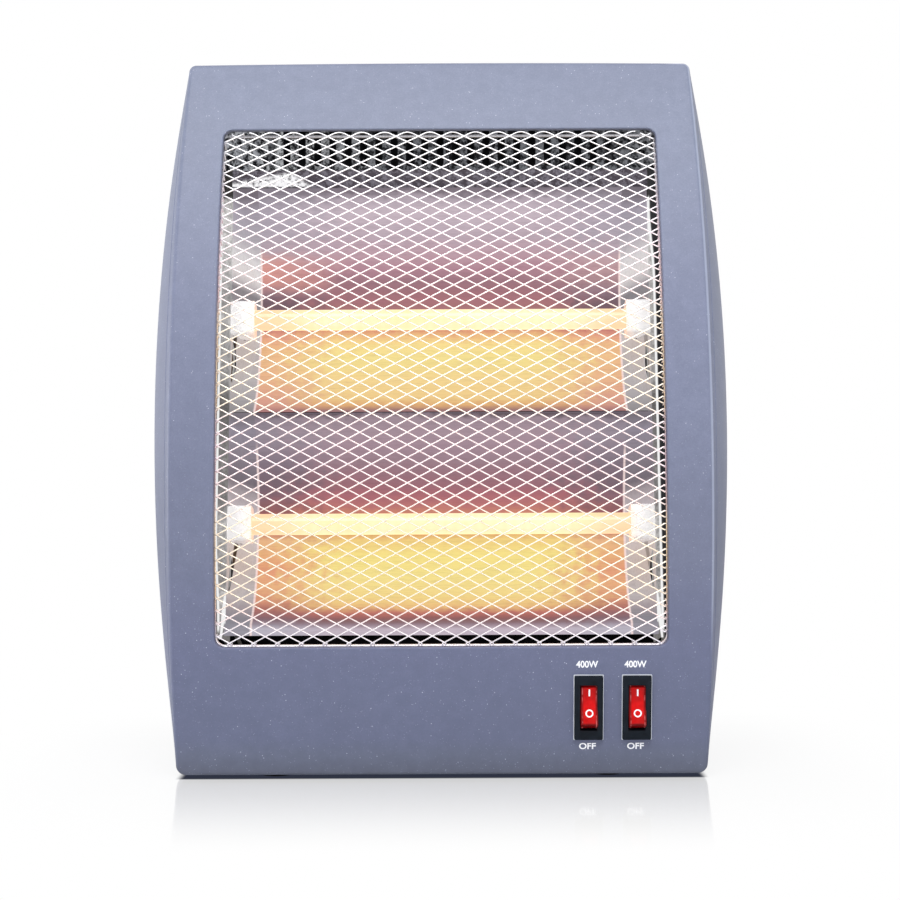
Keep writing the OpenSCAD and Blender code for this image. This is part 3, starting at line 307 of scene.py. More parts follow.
def chrome_wire(name, painted_light_stops):
    """Bright plating. The real one shines nearly white all over, so it also has a painted glow, coloured
    by painted light from the lit troughs that changes with height."""
    f = Finish(name, "chromed_wire", metallic=0.55, emission_strength=1)
    wear_and_glow = f.noise(5, 3)
    painted_light_colour = f.light_at(f.axes()[2], painted_light_stops)
    worn = f.mixed(wear_and_glow.ramp(0.3, 0.7), shade(240, 239, 239), shade(254, 254, 254))
    f.set("Base Color", f.mixed(1, worn, painted_light_colour, "MULTIPLY"))
    # painted glow, a little brighter where the wear noise is higher
    glow = f.mixed(wear_and_glow, shade(112, 110, 112), shade(128, 126, 128))
    f.set("Emission Color", f.mixed(1, glow, painted_light_colour, "MULTIPLY"))
    f.set("Roughness", 0.2 + f.noise(1.5, 3) * 0.16)
    f.bump(f.noise(0.5, 2), 0.02, 0.4)
    return f


def shield_sheet():
    """Dull, blotched sheet with a painted reflection of the room, brightest at its left end."""
    f = Finish("shield_sheet", "galvanised_steel", metallic=0.6, emission_strength=1)
    blotch = f.noise(3.2, 5, 0.75)
    f.set("Base Color", f.mixed(blotch.ramp(0.44, 0.62), shade(22, 22, 26), shade(122, 123, 128)))
    left = (0 - f.axes()[0]).ramp(20, 110)
    painted_reflection = f.mixed(left, shade(92, 94, 98), shade(170, 172, 174))
    f.set("Emission Color", f.on_front(f.mixed(blotch.ramp(0.42, 0.6), shade(8, 8, 11), painted_reflection)))
    f.set("Roughness", 0.4 + blotch * 0.2)
    f.bump(blotch, 0.04, 0.6)
    return f


def bracket_sheet():
    """Steel with painted light from the troughs, a painted bright line along each side of the window, a
    painted bright wedge near the line's foot, and painted shade beyond the line. The left line lies
    further out than the right one. The left line leans in at its foot, the right one at its top."""
    f = Finish("bracket_sheet", "galvanised_steel", metallic=1, emission_strength=1)
    x, y, z = f.axes()
    height = lean_height(y, z)
    blotch = f.noise(2.2, 5, 0.75)
    left = 116.4 - (1 - height.ramp(-56, -4)) * 2.2
    right = 113.4 - height.ramp(128, 170) * 2.1
    beyond = (0 - x - left).at_least(x - right)
    # painted light from the troughs, dimmed in blotches
    light = f.mixed(blotch.ramp(0.36, 0.6) * 0.45, f.light_at(height, BRACKET_LIGHT), (0.02, 0.02, 0.02))
    # painted shade beyond the line
    light = f.mixed(beyond.ramp(0.3, 1.2), light, shade(34, 35, 38))
    # painted highlights: a bright line along the window's side and a bright wedge near its foot
    line = (1 - abs(beyond).ramp(0.4, 0.8)) * (1 - height.ramp(174, 176)) * height.ramp(-58, -55)
    wedge = abs(abs(x) - 112.1 + (height + 52) * 0.1) + abs(height + 46) * 0.04
    bright = line.at_least(1 - wedge.ramp(0.9, 1.3))
    f.set("Emission Color", f.mixed(bright, light, shade(240, 240, 240)))
    f.set("Base Color", f.mixed(blotch, shade(30, 30, 31), shade(52, 52, 52)))
    f.set("Roughness", 0.4 + blotch * 0.2)
    f.bump(blotch, 0.03, 0.5)
    return f


def lit_trough(name, tube_height, middle, towards_end, end, patch=0.0, flange=0.0):
    """Polished sheet with the yellow and red light of its tube painted on, and plain, pale painted light
    past its ends. patch is how strongly its left end carries a painted orange patch of light over the
    tube, and flange is how high over the tube a flange in painted shadow starts."""
    f = Finish(name, "polished_aluminium", metallic=1, emission_strength=1)
    x, y, z = f.axes()
    across, height = abs(x), lean_height(y, z) - tube_height
    haze = f.noise(15, 3, 0.55, (2.2, 1, 1)) - 0.5
    grain = f.noise(1.1, 4, 0.7, (9, 1, 1))
    fleck = f.noise(4.5, 2) - 0.5
    wavy = height + (haze * 5 + fleck * 4) * height.ramp(-54, -44)
    light = f.light_at(wavy, middle)
    # painted light turns redder towards the trough's ends
    redder_light = (across + haze * 14 + fleck * 52).ramp(48, 95)
    light = f.mixed(redder_light, light, f.light_at(wavy, towards_end))
    orange_light_patch = (1 - abs(wavy - 31).ramp(3, 13)) * (haze * 50 - x).ramp(46, 104) * patch
    light = f.mixed(orange_light_patch, light, shade(226, 152, 136))
    light = f.mixed(across.ramp(97.4, 97.9), light, f.light_at(height, end))
    # painted highlight along the rim at the trough's end
    rim = (1 - abs(across - 97.6).ramp(0.2, 0.9)) * (1 - height.ramp(38, 46))
    light = f.mixed(rim * 0.8, light, shade(250, 226, 222))
    if flange:
        # above the trough's mouth the sheet is in painted shadow, but for a painted reflection in a streak
        # at its left end
        blotch = f.noise(3, 5, 0.75)
        dark = f.mixed(blotch.ramp(0.44, 0.62), shade(34, 35, 42), shade(104, 103, 112))
        up = height - flange
        streak = up.ramp(0.2, 1) * (1 - (up - 1.2 - (x + 112) * 0.2).ramp(0, 2.2))
        streak = streak * (0 - x - up * 1.3).ramp(66, 71) * blotch.ramp(0.34, 0.53)
        dark = f.mixed(streak, dark, shade(246, 246, 248))
        light = f.mixed(height.ramp(flange - 0.4, flange + 0.4), light, dark)
    f.set("Emission Color", f.on_front(f.mixed(grain.ramp(0.4, 0.75) * 0.16, light, (0, 0, 0))))
    f.set("Base Color", f.mixed(grain, shade(46, 40, 44), shade(60, 54, 58)))
    f.set("Roughness", 0.3 + grain * 0.14)
    f.bump(grain + haze * 0.8, 0.03, 0.5)
    return f


def end_sheet(name, tube_height, stops, slit_x, slit_slant):
    """The plates that close a trough's ends, with painted light from its tube, and a slanting dark slit of
    painted shade whose upper end lies slit_x from the middle. The slit is fainter on the right."""
    f = Finish(name, "galvanised_steel", metallic=1, emission_strength=1)
    x, y, z = f.axes()
    height = lean_height(y, z) - tube_height
    grain = f.noise(1.4, 4, 0.65)
    along = (0 - height - 9) / 27
    aside = abs(abs(x) - slit_x - along * slit_slant) + along * 0.5
    slit = (1 - aside.ramp(0.6, 1)) * along.ramp(0, 0.06) * (1 - along.ramp(0.94, 1))
    slit = slit * (1 - x.ramp(-10, 10) * 0.5)
    light = f.mixed(grain.ramp(0.4, 0.75) * 0.16, f.light_at(height, stops), (0, 0, 0))
    f.set("Emission Color", f.mixed(slit, light, shade(22, 20, 22)))
    f.set("Base Color", f.mixed(grain, shade(56, 55, 56), shade(72, 70, 71)))
    f.set("Roughness", 0.34 + grain * 0.14)
    f.bump(grain, 0.03, 0.5)
    return f


def glowing_quartz():
    f = Finish("glowing_quartz", "glowing_quartz", emission_strength=1, roughness=0.12,
               base_color=shade(120, 90, 60))
    cloud = f.noise(14, 3, 0.5, (3, 1, 1))
    turns = f.add("TexWave", {"Vector": f.place(), "Scale": 62, "Distortion": 0.4}, bands_direction="X")
    body = f.mixed(cloud.ramp(0.3, 0.7), shade(247, 236, 182), shade(250, 242, 202))
    body = f.mixed(turns * 0.14, body, shade(244, 222, 150))
    f.set("Emission Color", f.mixed(abs(f.axes()[0]).ramp(62, 97), body, shade(246, 210, 168)))
    f.bump(f.noise(3, 2), 0.03, 0.3)
    return f


def hot_coil():
    f = Finish("hot_coil", "hot_coil", emission_strength=1.2, roughness=0.6)
    f.set("Emission Color", f.mixed(f.noise(2, 2), shade(255, 190, 90), shade(255, 230, 150)))
    f.set("Base Color", f.mixed(f.noise(2, 2), shade(120, 60, 30), shade(150, 90, 50)))
    return f


def white_ceramic():
    f = Finish("white_ceramic", "white_ceramic", coat_weight=0.25, coat_roughness=0.2,
               emission_strength=1)
    grain = f.noise(1.4, 4, 0.65)
    colour = f.mixed(grain.ramp(0.35, 0.65), shade(232, 231, 230), shade(246, 246, 246))
    # painted light from the tube: the caps glow, warmer and brighter near the tube
    inner = 1 - abs(f.axes()[0]).ramp(CAP_IN - 1, CAP_IN + 5)
    f.set("Base Color", f.mixed(inner * 0.5, colour, shade(255, 228, 204)))
    f.set("Emission Color", f.mixed(inner, shade(140, 141, 143), shade(168, 146, 134)))
    f.set("Roughness", 0.4 + grain * 0.2)
    f.bump(grain, 0.03, 0.5)
    return f


def moulded(name, slot, dark, pale, gloss, grain_size=0.6, depth=0.02, **constants):
    """Plain moulded plastic, rubber or sleeving: two near colours, a fine grain and its gloss."""
    f = Finish(name, slot, **constants)
    grain = f.noise(grain_size, 3, 0.6)
    cloud = f.noise(grain_size * 8, 3).ramp(0.3, 0.7)
    f.set("Base Color", f.mixed(cloud, shade(*dark), shade(*pale)))
    f.set("Roughness", gloss + grain * 0.16)
    f.bump(grain, depth, 0.6)
    return f


def metal(name, slot, dark, pale, gloss, stretch=(1, 1, 1)):
    """Turned or rolled metal with fine marks along stretch."""
    f = Finish(name, slot, metallic=1)
    marks = f.noise(0.8, 4, 0.7, stretch)
    f.set("Base Color", f.mixed(marks.ramp(0.3, 0.7), shade(*dark), shade(*pale)))
    f.set("Roughness", gloss + marks * 0.18)
    f.bump(marks, 0.015, 0.5)
    return f


def rocker_red():
    """Clear red moulding that glows in its middle, with painted shade at its sides and its lower end, and
    painted glints along its sides.
    """
    f = Finish("rocker_red", "red_plastic", coat_weight=0.06, coat_roughness=0.12, emission_strength=1,
               specular_ior_level=0.12)
    x, _, z = f.axes()
    across = abs(x - SWITCH_X).at_most(abs(x - SWITCH_X - SWITCH_PITCH))
    height = z - SWITCH_Z
    grain = f.noise(3, 3)
    glow = 1 - abs(height + 1).ramp(0, 9)
    # painted shade at the sides and at the lower end
    shadow = across.ramp(2.5, 3.9).at_least(1 - height.ramp(-8.4, -7.4))
    colour = f.mixed(grain.ramp(0.3, 0.7), shade(168, 4, 7), shade(190, 8, 11))
    f.set("Base Color", f.mixed(shadow * 0.75, colour, shade(70, 2, 6)))
    lit = f.mixed(shadow * 0.8, f.mixed(glow, shade(50, 0, 0), shade(140, 0, 0)), (0, 0, 0))
    # painted glints along the sides
    side_glint = (1 - abs(across - 3.5).ramp(0.1, 0.4)) * abs(height).ramp(1, 6) * f.noise(2.5).ramp(0.4, 0.6)
    f.set("Emission Color", f.mixed(side_glint * 0.5, lit, shade(214, 130, 130)))
    f.set("Roughness", 0.25 + grain * 0.12)
    f.bump(f.noise(0.8, 2), 0.01, 0.4)
    return f


# Painted light on the grille's wires: height over the floor in millimetres, and the colour. The border has
# painted shade at the window's upper end, but for a painted highlight along its top.
WIRE_PAINTED_LIGHT = [
    (66, (240, 238, 244)), (76, (244, 239, 243)), (84, (252, 233, 230)), (92, (253, 239, 218)),
    (130, (253, 240, 218)),
    (139, (254, 236, 230)), (160, (253, 236, 240)), (182, (252, 238, 238)), (190, (253, 241, 222)),
    (235, (253, 241, 222)), (243, (254, 238, 236)), (262, (254, 239, 242)), (286, (252, 242, 248)),
    (305, (251, 248, 252)), (322, (251, 251, 252)), (326, (248, 248, 250)), (333, (250, 250, 252))]
BORDER_PAINTED_LIGHT = WIRE_PAINTED_LIGHT[:-3] + [
    (322, (190, 190, 194)), (328, (80, 80, 84)), (333, (70, 70, 74)), (333.5, (250, 250, 252)),
    (334.6, (250, 250, 252))]

# The painted light on each sheet: height over the tube's axis in millimetres, and the colour it shows
# there
BRACKET_LIGHT = [
    (h, (v, v - 3, v - 4)) for h, v in (
        (-57, 130), (-52, 165), (-44, 208), (-38, 208), (-30, 150), (-15, 178), (-8, 188), (0, 200),
        (8, 150), (12, 140), (38, 142), (60, 112), (66, 116), (75, 172), (91, 172), (104, 184), (109, 200),
        (119, 170), (135, 205), (148, 218), (168, 218), (174, 200), (176, 44), (190, 34))]
UPPER_MIDDLE = [
    (-51, (150, 110, 110)), (-47, (222, 172, 116)), (-42, (238, 204, 138)), (-30, (242, 212, 142)),
    (-17, (242, 222, 142)), (-9, (240, 214, 128)), (-4, (228, 180, 104)), (0, (210, 132, 86)),
    (11, (162, 106, 104)), (17, (162, 106, 112)), (22, (154, 106, 114)), (27, (152, 112, 122)),
    (33, (172, 128, 141)), (38, (182, 145, 156)), (43, (187, 158, 169)), (50, (184, 166, 177)),
    (61, (197, 182, 192)), (66.5, (176, 164, 175)), (69.5, (120, 112, 122))]
UPPER_TOWARDS_END = [
    (-51, (164, 114, 112)), (-47, (208, 152, 136)), (-42, (216, 158, 136)), (-30, (230, 178, 136)),
    (-17, (236, 188, 138)), (-9, (228, 176, 120)), (-4, (220, 150, 112)), (0, (190, 110, 90)),
    (11, (104, 76, 82)), (17, (108, 86, 95)), (22, (140, 114, 124)), (27, (164, 130, 134)),
    (33, (184, 148, 152)), (38, (188, 158, 163)), (43, (178, 158, 168)), (50, (172, 162, 173)),
    (61, (172, 163, 175)), (66.5, (154, 147, 158)), (69.5, (130, 124, 134))]
UPPER_END = [
    (-51, (140, 136, 138)), (-42, (166, 162, 164)), (-30, (182, 176, 176)), (-15, (184, 175, 173)),
    (-6, (196, 188, 186)), (10, (140, 136, 140)), (17, (130, 128, 132)), (21, (182, 178, 180)),
    (27, (218, 213, 212)), (36, (213, 210, 211)), (42, (190, 184, 188)), (48, (172, 166, 174)),
    (61, (160, 153, 165)), (68, (112, 106, 114))]
LOWER_MIDDLE = [
    (-58.8, (186, 174, 186)), (-55.8, (190, 176, 188)), (-54.6, (166, 148, 158)), (-53.2, (140, 116, 126)),
    (-51.6, (124, 94, 102)), (-49.9, (138, 88, 92)), (-46.7, (188, 112, 102)), (-42.6, (234, 190, 126)),
    (-37, (240, 212, 134)), (-25, (241, 221, 136)), (-13.7, (244, 223, 132)), (-5.4, (236, 202, 118)),
    (0, (214, 136, 84)), (10, (198, 126, 104)), (13.4, (182, 110, 108)), (18.6, (168, 100, 108)),
    (24, (150, 102, 112)), (30.4, (148, 111, 122)), (36, (150, 124, 135)), (43, (160, 135, 148)),
    (49, (163, 141, 153)), (55, (154, 136, 148)), (57.2, (90, 80, 90))]
LOWER_TOWARDS_END = [
    (-58.8, (176, 172, 184)), (-55.4, (180, 176, 188)), (-53, (148, 136, 148)), (-50, (122, 98, 108)),
    (-44, (168, 106, 98)), (-39, (212, 146, 116)), (-30, (228, 170, 122)), (-22, (224, 152, 116)),
    (-13.7, (230, 172, 120)), (-5.4, (226, 176, 128)), (0, (190, 110, 90)), (10, (140, 86, 87)),
    (13.4, (134, 90, 93)), (18.6, (130, 96, 106)), (24, (112, 94, 104)), (30.4, (118, 102, 113)),
    (36, (125, 112, 124)), (43, (140, 128, 140)), (49, (148, 138, 150)), (55, (138, 128, 140)),
    (57.2, (90, 82, 92))]
LOWER_END = [
    (-57, (146, 144, 154)), (-50, (130, 128, 136)), (-43, (160, 150, 154)), (-37, (184, 176, 176)),
    (-20, (190, 176, 170)), (-6, (198, 188, 188)), (10, (186, 176, 180)), (18.6, (160, 150, 154)),
    (24, (112, 104, 112)), (30, (120, 112, 121)), (40, (136, 127, 137)), (50, (141, 134, 147)),
    (56, (118, 112, 120))]

finishes = {
    "casing": casing_paint(),
    "grip": grip_paint(),
    "wire": chrome_wire("chrome_wire", WIRE_PAINTED_LIGHT),
    "border": chrome_wire("border_plating", BORDER_PAINTED_LIGHT),
    "shield": shield_sheet(),
    "bracket": bracket_sheet(),
    "upper_end": end_sheet("upper_end_sheet", TUBE_GAP, UPPER_END, 108.6, 1.4),
    "lower_end": end_sheet("lower_end_sheet", 0, LOWER_END, 106.6, 3),
    "upper_trough": lit_trough("upper_trough_light", TUBE_GAP, UPPER_MIDDLE, UPPER_TOWARDS_END,
                               UPPER_END, 0.7, HIGH_SPAN[1] - TUBE_GAP),
    "lower_trough": lit_trough("lower_trough_light", 0, LOWER_MIDDLE, LOWER_TOWARDS_END,
                               LOWER_END),
    "quartz": glowing_quartz(),
    "coil": hot_coil(),
    "ceramic": white_ceramic(),
    "black": moulded("black_moulding", "black_plastic", (8, 15, 24), (15, 24, 34), 0.42,
                     specular_ior_level=0.16),
    "gland": moulded("gland_moulding", "black_plastic", (30, 31, 34), (42, 43, 46), 0.4),
    "red": rocker_red(),
    "brass": metal("brass_blade", "brass", (190, 150, 84), (222, 184, 112), 0.24, (1, 5, 1)),
    "plunger": moulded("plunger_moulding", "white_plastic", (214, 214, 208), (230, 230, 226), 0.35),
    # the print has a painted glow
    "print": moulded("white_print", "white_plastic", (236, 238, 244), (250, 251, 254), 0.45,
                     emission_strength=1, emission_color=shade(84, 84, 86)),
    "outline": moulded("bezel_line", "white_plastic", (214, 220, 232), (236, 240, 248), 0.4),
    "spring": metal("spring_wire", "spring_steel", (150, 150, 152), (190, 190, 192), 0.25, (4, 1, 1)),
    "rubber": moulded("foot_rubber", "black_rubber", (30, 30, 31), (44, 44, 45), 0.68, 0.5, 0.05),
    "sleeve": moulded("lead_sleeving", "lead_sleeve", (214, 212, 204), (234, 232, 226), 0.6, 0.4, 0.06),
    "screw": metal("screw_plating", "screw_steel", (150, 152, 158), (206, 208, 214), 0.28, (1, 6, 1)),
}

# ---- Making pieces ----


def dress(obj, finish, body="casing", stands_for=(), smooth=30):
    """Gives a piece its finish and soft shading, and fixes it to its body."""
    mesh = obj.data
    mesh.materials.clear()
    mesh.materials.append(finishes[finish].material)
    mesh.shade_smooth()
    mesh.set_sharp_from_angle(angle=math.radians(smooth))
    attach(obj, body)
    if stands_for:
        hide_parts(*stands_for)
    return obj


def link(name, mesh):
    obj = bpy.data.objects.new(name, mesh)
    bpy.context.scene.collection.objects.link(obj)
    return obj


def build(name, points, faces):
    """An object from points in millimetres."""
    mesh = bpy.data.meshes.new(name)
    mesh.from_pydata([[c * MM for c in p] for p in points], [], faces)
    mesh.validate()
    return link(name, mesh)


def settle(obj):
    """Puts what an object's modifiers make into its mesh."""
    made = bpy.data.meshes.new_from_object(obj.evaluated_get(bpy.context.evaluated_depsgraph_get()))
    obj.modifiers.clear()
    obj.data = made
    return obj


def softened(node, name, finish, width, body="casing", smooth=30, segments=2):
    """A copy of a CAD node with its edges rounded by width, which stands for the node."""
    obj = link(name, nodes[node].data.copy())
    weld = obj.modifiers.new("weld", "WELD")
    weld.merge_threshold = 1e-6
    flat = obj.modifiers.new("flat", "DECIMATE")
    flat.decimate_type, flat.angle_limit = "DISSOLVE", math.radians(0.5)
    if width:
        bevel = obj.modifiers.new("bevel", "BEVEL")
        bevel.width, bevel.segments = width * MM, segments
        bevel.limit_method, bevel.angle_limit = "ANGLE", math.radians(40)
        bevel.use_clamp_overlap = True
    even = obj.modifiers.new("even", "WEIGHTED_NORMAL")
    even.keep_sharp = True
    settle(obj)
    return dress(obj, finish, body, [node], smooth)


def loft_faces(rings, sides, closed_rings=True, closed_loft=True):
    """Faces between rings of equal length."""
    return [(a * sides + i, a * sides + (i + 1) % sides,
             (a + 1) % rings * sides + (i + 1) % sides, (a + 1) % rings * sides + i)
            for a in range(rings if closed_loft else rings - 1)
            for i in range(sides if closed_rings else sides - 1)]


def tube(path, radius, sides, start, up=(0, 0, 1)):
    """Points and faces of a round wire along a path; start is the number of its first point."""
    path = [Vector(p) for p in path]
    side = Vector(up)
    points = []
    for i, p in enumerate(path):
        along = (path[min(i + 1, len(path) - 1)] - path[max(i - 1, 0)]).normalized()
        side = (side - side.dot(along) * along).normalized()
        other = along.cross(side)
        points += [p + radius * (math.cos(a) * side + math.sin(a) * other)
                   for a in steps(0, math.tau, sides)[:-1]]
    faces = [tuple(start + k for k in f) for f in loft_faces(len(path), sides, True, False)]
    faces += [tuple(start + k for k in reversed(range(sides))),
              tuple(start + (len(path) - 1) * sides + k for k in range(sides))]
    return points, faces


# ---- Casing ----

SIDE_STEPS, CORNER_STEPS, EDGE_STEPS = 60, 10, 24


def face_y(z):
    return FRONT_Y + FRONT_R - math.sqrt(FRONT_R ** 2 - (z - FRONT_Z) ** 2)


def room(z):
    return BACK_Y - face_y(z)


def side_x(z, depth):
    """Half the casing's width at height z, at that depth behind the face."""
    t = depth / room(z)
    seam = FACE_W / 2 - (z - BELLY_Z) ** 2 / (2 * FACE_BOW_R)
    bulge = BODY_W / 2 - (z - BELLY_Z) ** 2 / (2 * SIDE_BOW_R)
    if t < BULGE_AT:
        fullness = 1 - ((BULGE_AT - t) / BULGE_AT) ** 2
    else:
        fullness = 1 - (1 - BULGE_LEFT) * ((t - BULGE_AT) / (1 - BULGE_AT)) ** 2
    return mix(seam, bulge, fullness)


def half_outline(depth, inset, top_r, low_r, x0, low_steps):
    """Right half of the casing's outline, from x0 on the bottom round to the top middle."""
    low_r, top_r = max(low_r, inset + LEAST_CORNER), max(top_r, inset + LEAST_CORNER)
    low, high = BASE_Z + low_r, BODY_H - top_r
    x_low, x_high = side_x(low, depth(low)) - low_r, side_x(high, depth(high)) - top_r
    points = [(x, BASE_Z + inset) for x in steps(x0, x_low, low_steps)[:-1]]
    points += [(x_low + (low_r - inset) * math.cos(a), low + (low_r - inset) * math.sin(a))
               for a in steps(-math.pi / 2, 0, CORNER_STEPS)[:-1]]
    points += [(side_x(z, depth(z)) - inset, z) for z in steps(low, high, SIDE_STEPS)[:-1]]
    points += [(x_high + (top_r - inset) * math.cos(a), high + (top_r - inset) * math.sin(a))
               for a in steps(0, math.pi / 2, CORNER_STEPS)[:-1]]
    points += [(x_high * f, BODY_H - inset + TOP_CROWN * (1 - f ** 2)) for f in steps(1, 0, EDGE_STEPS)]
    return points


def half_window(grow):
    """Right half of the window's outline, with a point for each of the casing's."""
    x, low, high = WINDOW_W / 2 - WINDOW_R, WINDOW_LOW + WINDOW_R, WINDOW_HIGH - WINDOW_R
    r = WINDOW_R + grow
    points = [(x * f, low - r) for f in steps(0, 1, EDGE_STEPS)[:-1]]
    points += [(x + r * math.cos(a), low + r * math.sin(a))
               for a in steps(-math.pi / 2, 0, CORNER_STEPS)[:-1]]
    points += [(x + r, z) for z in steps(low, high, SIDE_STEPS)[:-1]]
    points += [(x + r * math.cos(a), high + r * math.sin(a))
               for a in steps(0, math.pi / 2, CORNER_STEPS)[:-1]]
    points += [(x * f, high + r) for f in steps(1, 0, EDGE_STEPS)]
    return points


def whole(half, closed=True):
    """A half outline and its mirror image. A closed one leaves both middle points out of the copy."""
    return half + [(-x, z) for x, z in half[-2:(0 if closed else None):-1]]


def on_face(outline, depth):
    return [(x, face_y(z) + depth, z) for x, z in outline]


def casing_outline(depth, inset):
    return whole(half_outline(lambda z: depth, inset, TOP_CORNER_R, LOW_CORNER_R, 0, EDGE_STEPS))


def face_ring(depth, inset, grow, share):
    """A ring on the face, share of the way from the casing's edge to the window's."""
    return on_face([blend_points(a, b, share)
                    for a, b in zip(casing_outline(depth, inset), whole(half_window(grow)))], depth)


def front_moulding():
    inner = WALL + PLAY + TONGUE_T
    quarter = steps(0, math.pi / 2, 6)
    rings = [on_face(casing_outline(SEAM_D, WALL + PLAY), SEAM_D)]
    rings += [on_face(casing_outline(SEAM_D + TONGUE_D, c), SEAM_D + TONGUE_D)
              for c in (WALL + PLAY, inner)]
    rings += [face_ring(WALL, inner, LIP_T, f) for f in (0, 0.3, 0.7, 1)]
    rings += [on_face(whole(half_window(LIP_T)), LIP_D), on_face(whole(half_window(0)), LIP_D)]
    rings += [on_face(whole(half_window(WINDOW_EDGE * (1 - math.cos(a)))),
                      WINDOW_EDGE * (1 - math.sin(a))) for a in quarter]
    rings += [face_ring(0, EDGE_R, WINDOW_EDGE, f) for f in (0.98, 0.85, 0.65, 0.45, 0.25, 0.08, 0.02)]
    rings += [on_face(casing_outline(EDGE_R * (1 - math.cos(a)), EDGE_R * (1 - math.sin(a))),
                      EDGE_R * (1 - math.cos(a))) for a in quarter]
    rings += [on_face(casing_outline(d, c), d) for d, c in
              ((SEAM_D - 0.5, 0), (SEAM_D, 0.4))]
    obj = build("front_moulding", [p for r in rings for p in r], loft_faces(len(rings), len(rings[0])))
    cutters = []
    for i in range(2):
        bpy.ops.mesh.primitive_cube_add(size=1)
        cutter = bpy.context.object
        cutter.scale = Vector(CUT_OUT) * MM
        cutter.location = ((SWITCH_X + i * SWITCH_PITCH) * MM, FRONT_Y * MM, SWITCH_Z * MM)
        hole = obj.modifiers.new("hole", "BOOLEAN")
        hole.object, hole.operation, hole.solver = cutter, "DIFFERENCE", "EXACT"
        cutters.append(cutter)
    settle(obj)
    for cutter in cutters:
        bpy.data.objects.remove(cutter)
    return dress(obj, "casing", stands_for=["front_shell"])


def rear_section():
    """The rear moulding's wall as [share of the way to the rounded back, further back, set in]: the
    outer side from the seam to the back rim, and as many points back along the inner side."""
    shares = steps(0, TONGUE_SHARE, 3) + steps(TONGUE_SHARE, 0.97, 14)[1:]
    turn = steps(0, math.pi / 2, 8)
    outer = [(0, 0.5, 0.4)] + [(t, 0.9 if t == 0 else 0, 0) for t in shares]
    outer += [(1, REAR_ROUND * math.sin(a), REAR_ROUND * (1 - math.cos(a))) for a in turn]
    outer += [(1, REAR_ROUND, RIM_C), (1, REAR_ROUND - REBATE_D, RIM_C),
              (1, REAR_ROUND - REBATE_D, RIM_C + LEDGE_W)]
    inner_r, ledge_in = REAR_ROUND - WALL, REAR_ROUND - REBATE_D - LEDGE_T
    inner = [(0, 0.5, WALL)] + [(t, 0.9 if t == 0 else 0, WALL) for t in shares]
    inner += [(1, inner_r * math.sin(a), REAR_ROUND - inner_r * math.cos(a))
              for a in steps(0, math.pi / 6, 8)]
    inner += [(1, ledge_in, c) for c in (WALL + 5.4, RIM_C, RIM_C + LEDGE_W)]
    return outer + inner[::-1]


def section_depth(s):
    return lambda z: (SEAM_D + SEAM_GAP - (0.5 if s[0] == 0 else 0) + s[1]
                      + s[0] * (room(z) - REAR_ROUND - SEAM_D - SEAM_GAP))


def section_ring(s):
    depth, f = section_depth(s), max(0, s[0] - TONGUE_SHARE) / (1 - TONGUE_SHARE)
    outline = whole(half_outline(depth, s[2], mix(TOP_CORNER_R, REAR_CORNER_R, f),
                                 mix(LOW_CORNER_R, REAR_CORNER_R, f), LEG_X, 2), False)
    return [(x, face_y(z) + depth(z), z) for x, z in outline]


def rear_moulding():
    section = rear_section()
    rings = [section_ring(s) for s in section]
    m, n = len(rings), len(rings[0])
    faces = loft_faces(m, n, closed_rings=False)
    for k in range(m // 2 - 1):
        a, b, c, d = k * n, (k + 1) * n, (m - 1 - k) * n, (m - 2 - k) * n
        faces += [(a, b, d, c), tuple(v + n - 1 for v in (c, d, b, a))]
    obj = build("rear_moulding", [p for r in rings for p in r], faces)
    return dress(obj, "casing", stands_for=["rear_shell"])


def tray_moulding():
    """The base tray's smooth profile between the rear moulding's feet."""
    return softened("base_tray", "tray_moulding", "casing", 0, smooth=35)


# ---- Grille ----

MESH_IN = WIRE_T / 2 + PLAY
MESH_HALF, MESH_R = WINDOW_W / 2 - MESH_IN, WINDOW_R - MESH_IN
MESH_LOW = FRONT_R * math.asin((WINDOW_LOW - FRONT_Z) / FRONT_R) + MESH_IN
MESH_HIGH = FRONT_R * math.asin((WINDOW_HIGH - FRONT_Z) / FRONT_R) - MESH_IN
BEND, CROSS_IN, CROSS_UP, LAYER_GAP, ARCH_POWER, ARCH_LIFT = 1, 1.3, 0.4, 0.2, 2, 1.28
SHORTEST_WIRE, WIRE_STEP, WIRE_SIDES = 8, 12, 8
MESH_LEFT, MESH_FIRST = CROSS_IN + BEND - MESH_HALF, MESH_LOW + BEND + CROSS_UP
MESH_PITCH = -2 * MESH_LEFT / (MESH_COLS + 0.5)
FIRST_CROSSING = MESH_LEFT + 4.4      # x of a crossing in the first row
ROW_H = (MESH_HIGH - BEND - MESH_FIRST) / (MESH_ROWS + 0.25)
LAST_ROW = MESH_HIGH - BEND - ROW_H / 4
SLOPE = ROW_H / MESH_PITCH


def over_bow(x, s, depth):
    """A point over the face's bow: x across, s along its arc and depth behind it."""
    a = s / FRONT_R
    return (x, FRONT_Y + FRONT_R - (FRONT_R - depth) * math.cos(a),
            FRONT_Z + (FRONT_R - depth) * math.sin(a))


def outside(x, s):
    """How far a point lies outside the grille's rounded outline."""
    qx = abs(x) - MESH_HALF + MESH_R
    qs = abs(s - (MESH_LOW + MESH_HIGH) / 2) - (MESH_HIGH - MESH_LOW) / 2 + MESH_R
    return math.hypot(max(qx, 0), max(qs, 0)) + min(max(qx, qs), 0) - MESH_R


def way_out(x, s, h=0.01):
    """The way straight out through the outline nearest to a point."""
    v = Vector((outside(x + h, s) - outside(x - h, s), outside(x, s + h) - outside(x, s - h)))
    return v.normalized()


def crossing(s0, slope, a, b):
    """Where a wire from inside at x = a to outside at x = b starts its bend along the outline."""
    for _ in range(20):
        m = (a + b) / 2
        a, b = (a, m) if outside(m, s0 + slope * m) > -BEND else (m, b)
    return (a + b) / 2


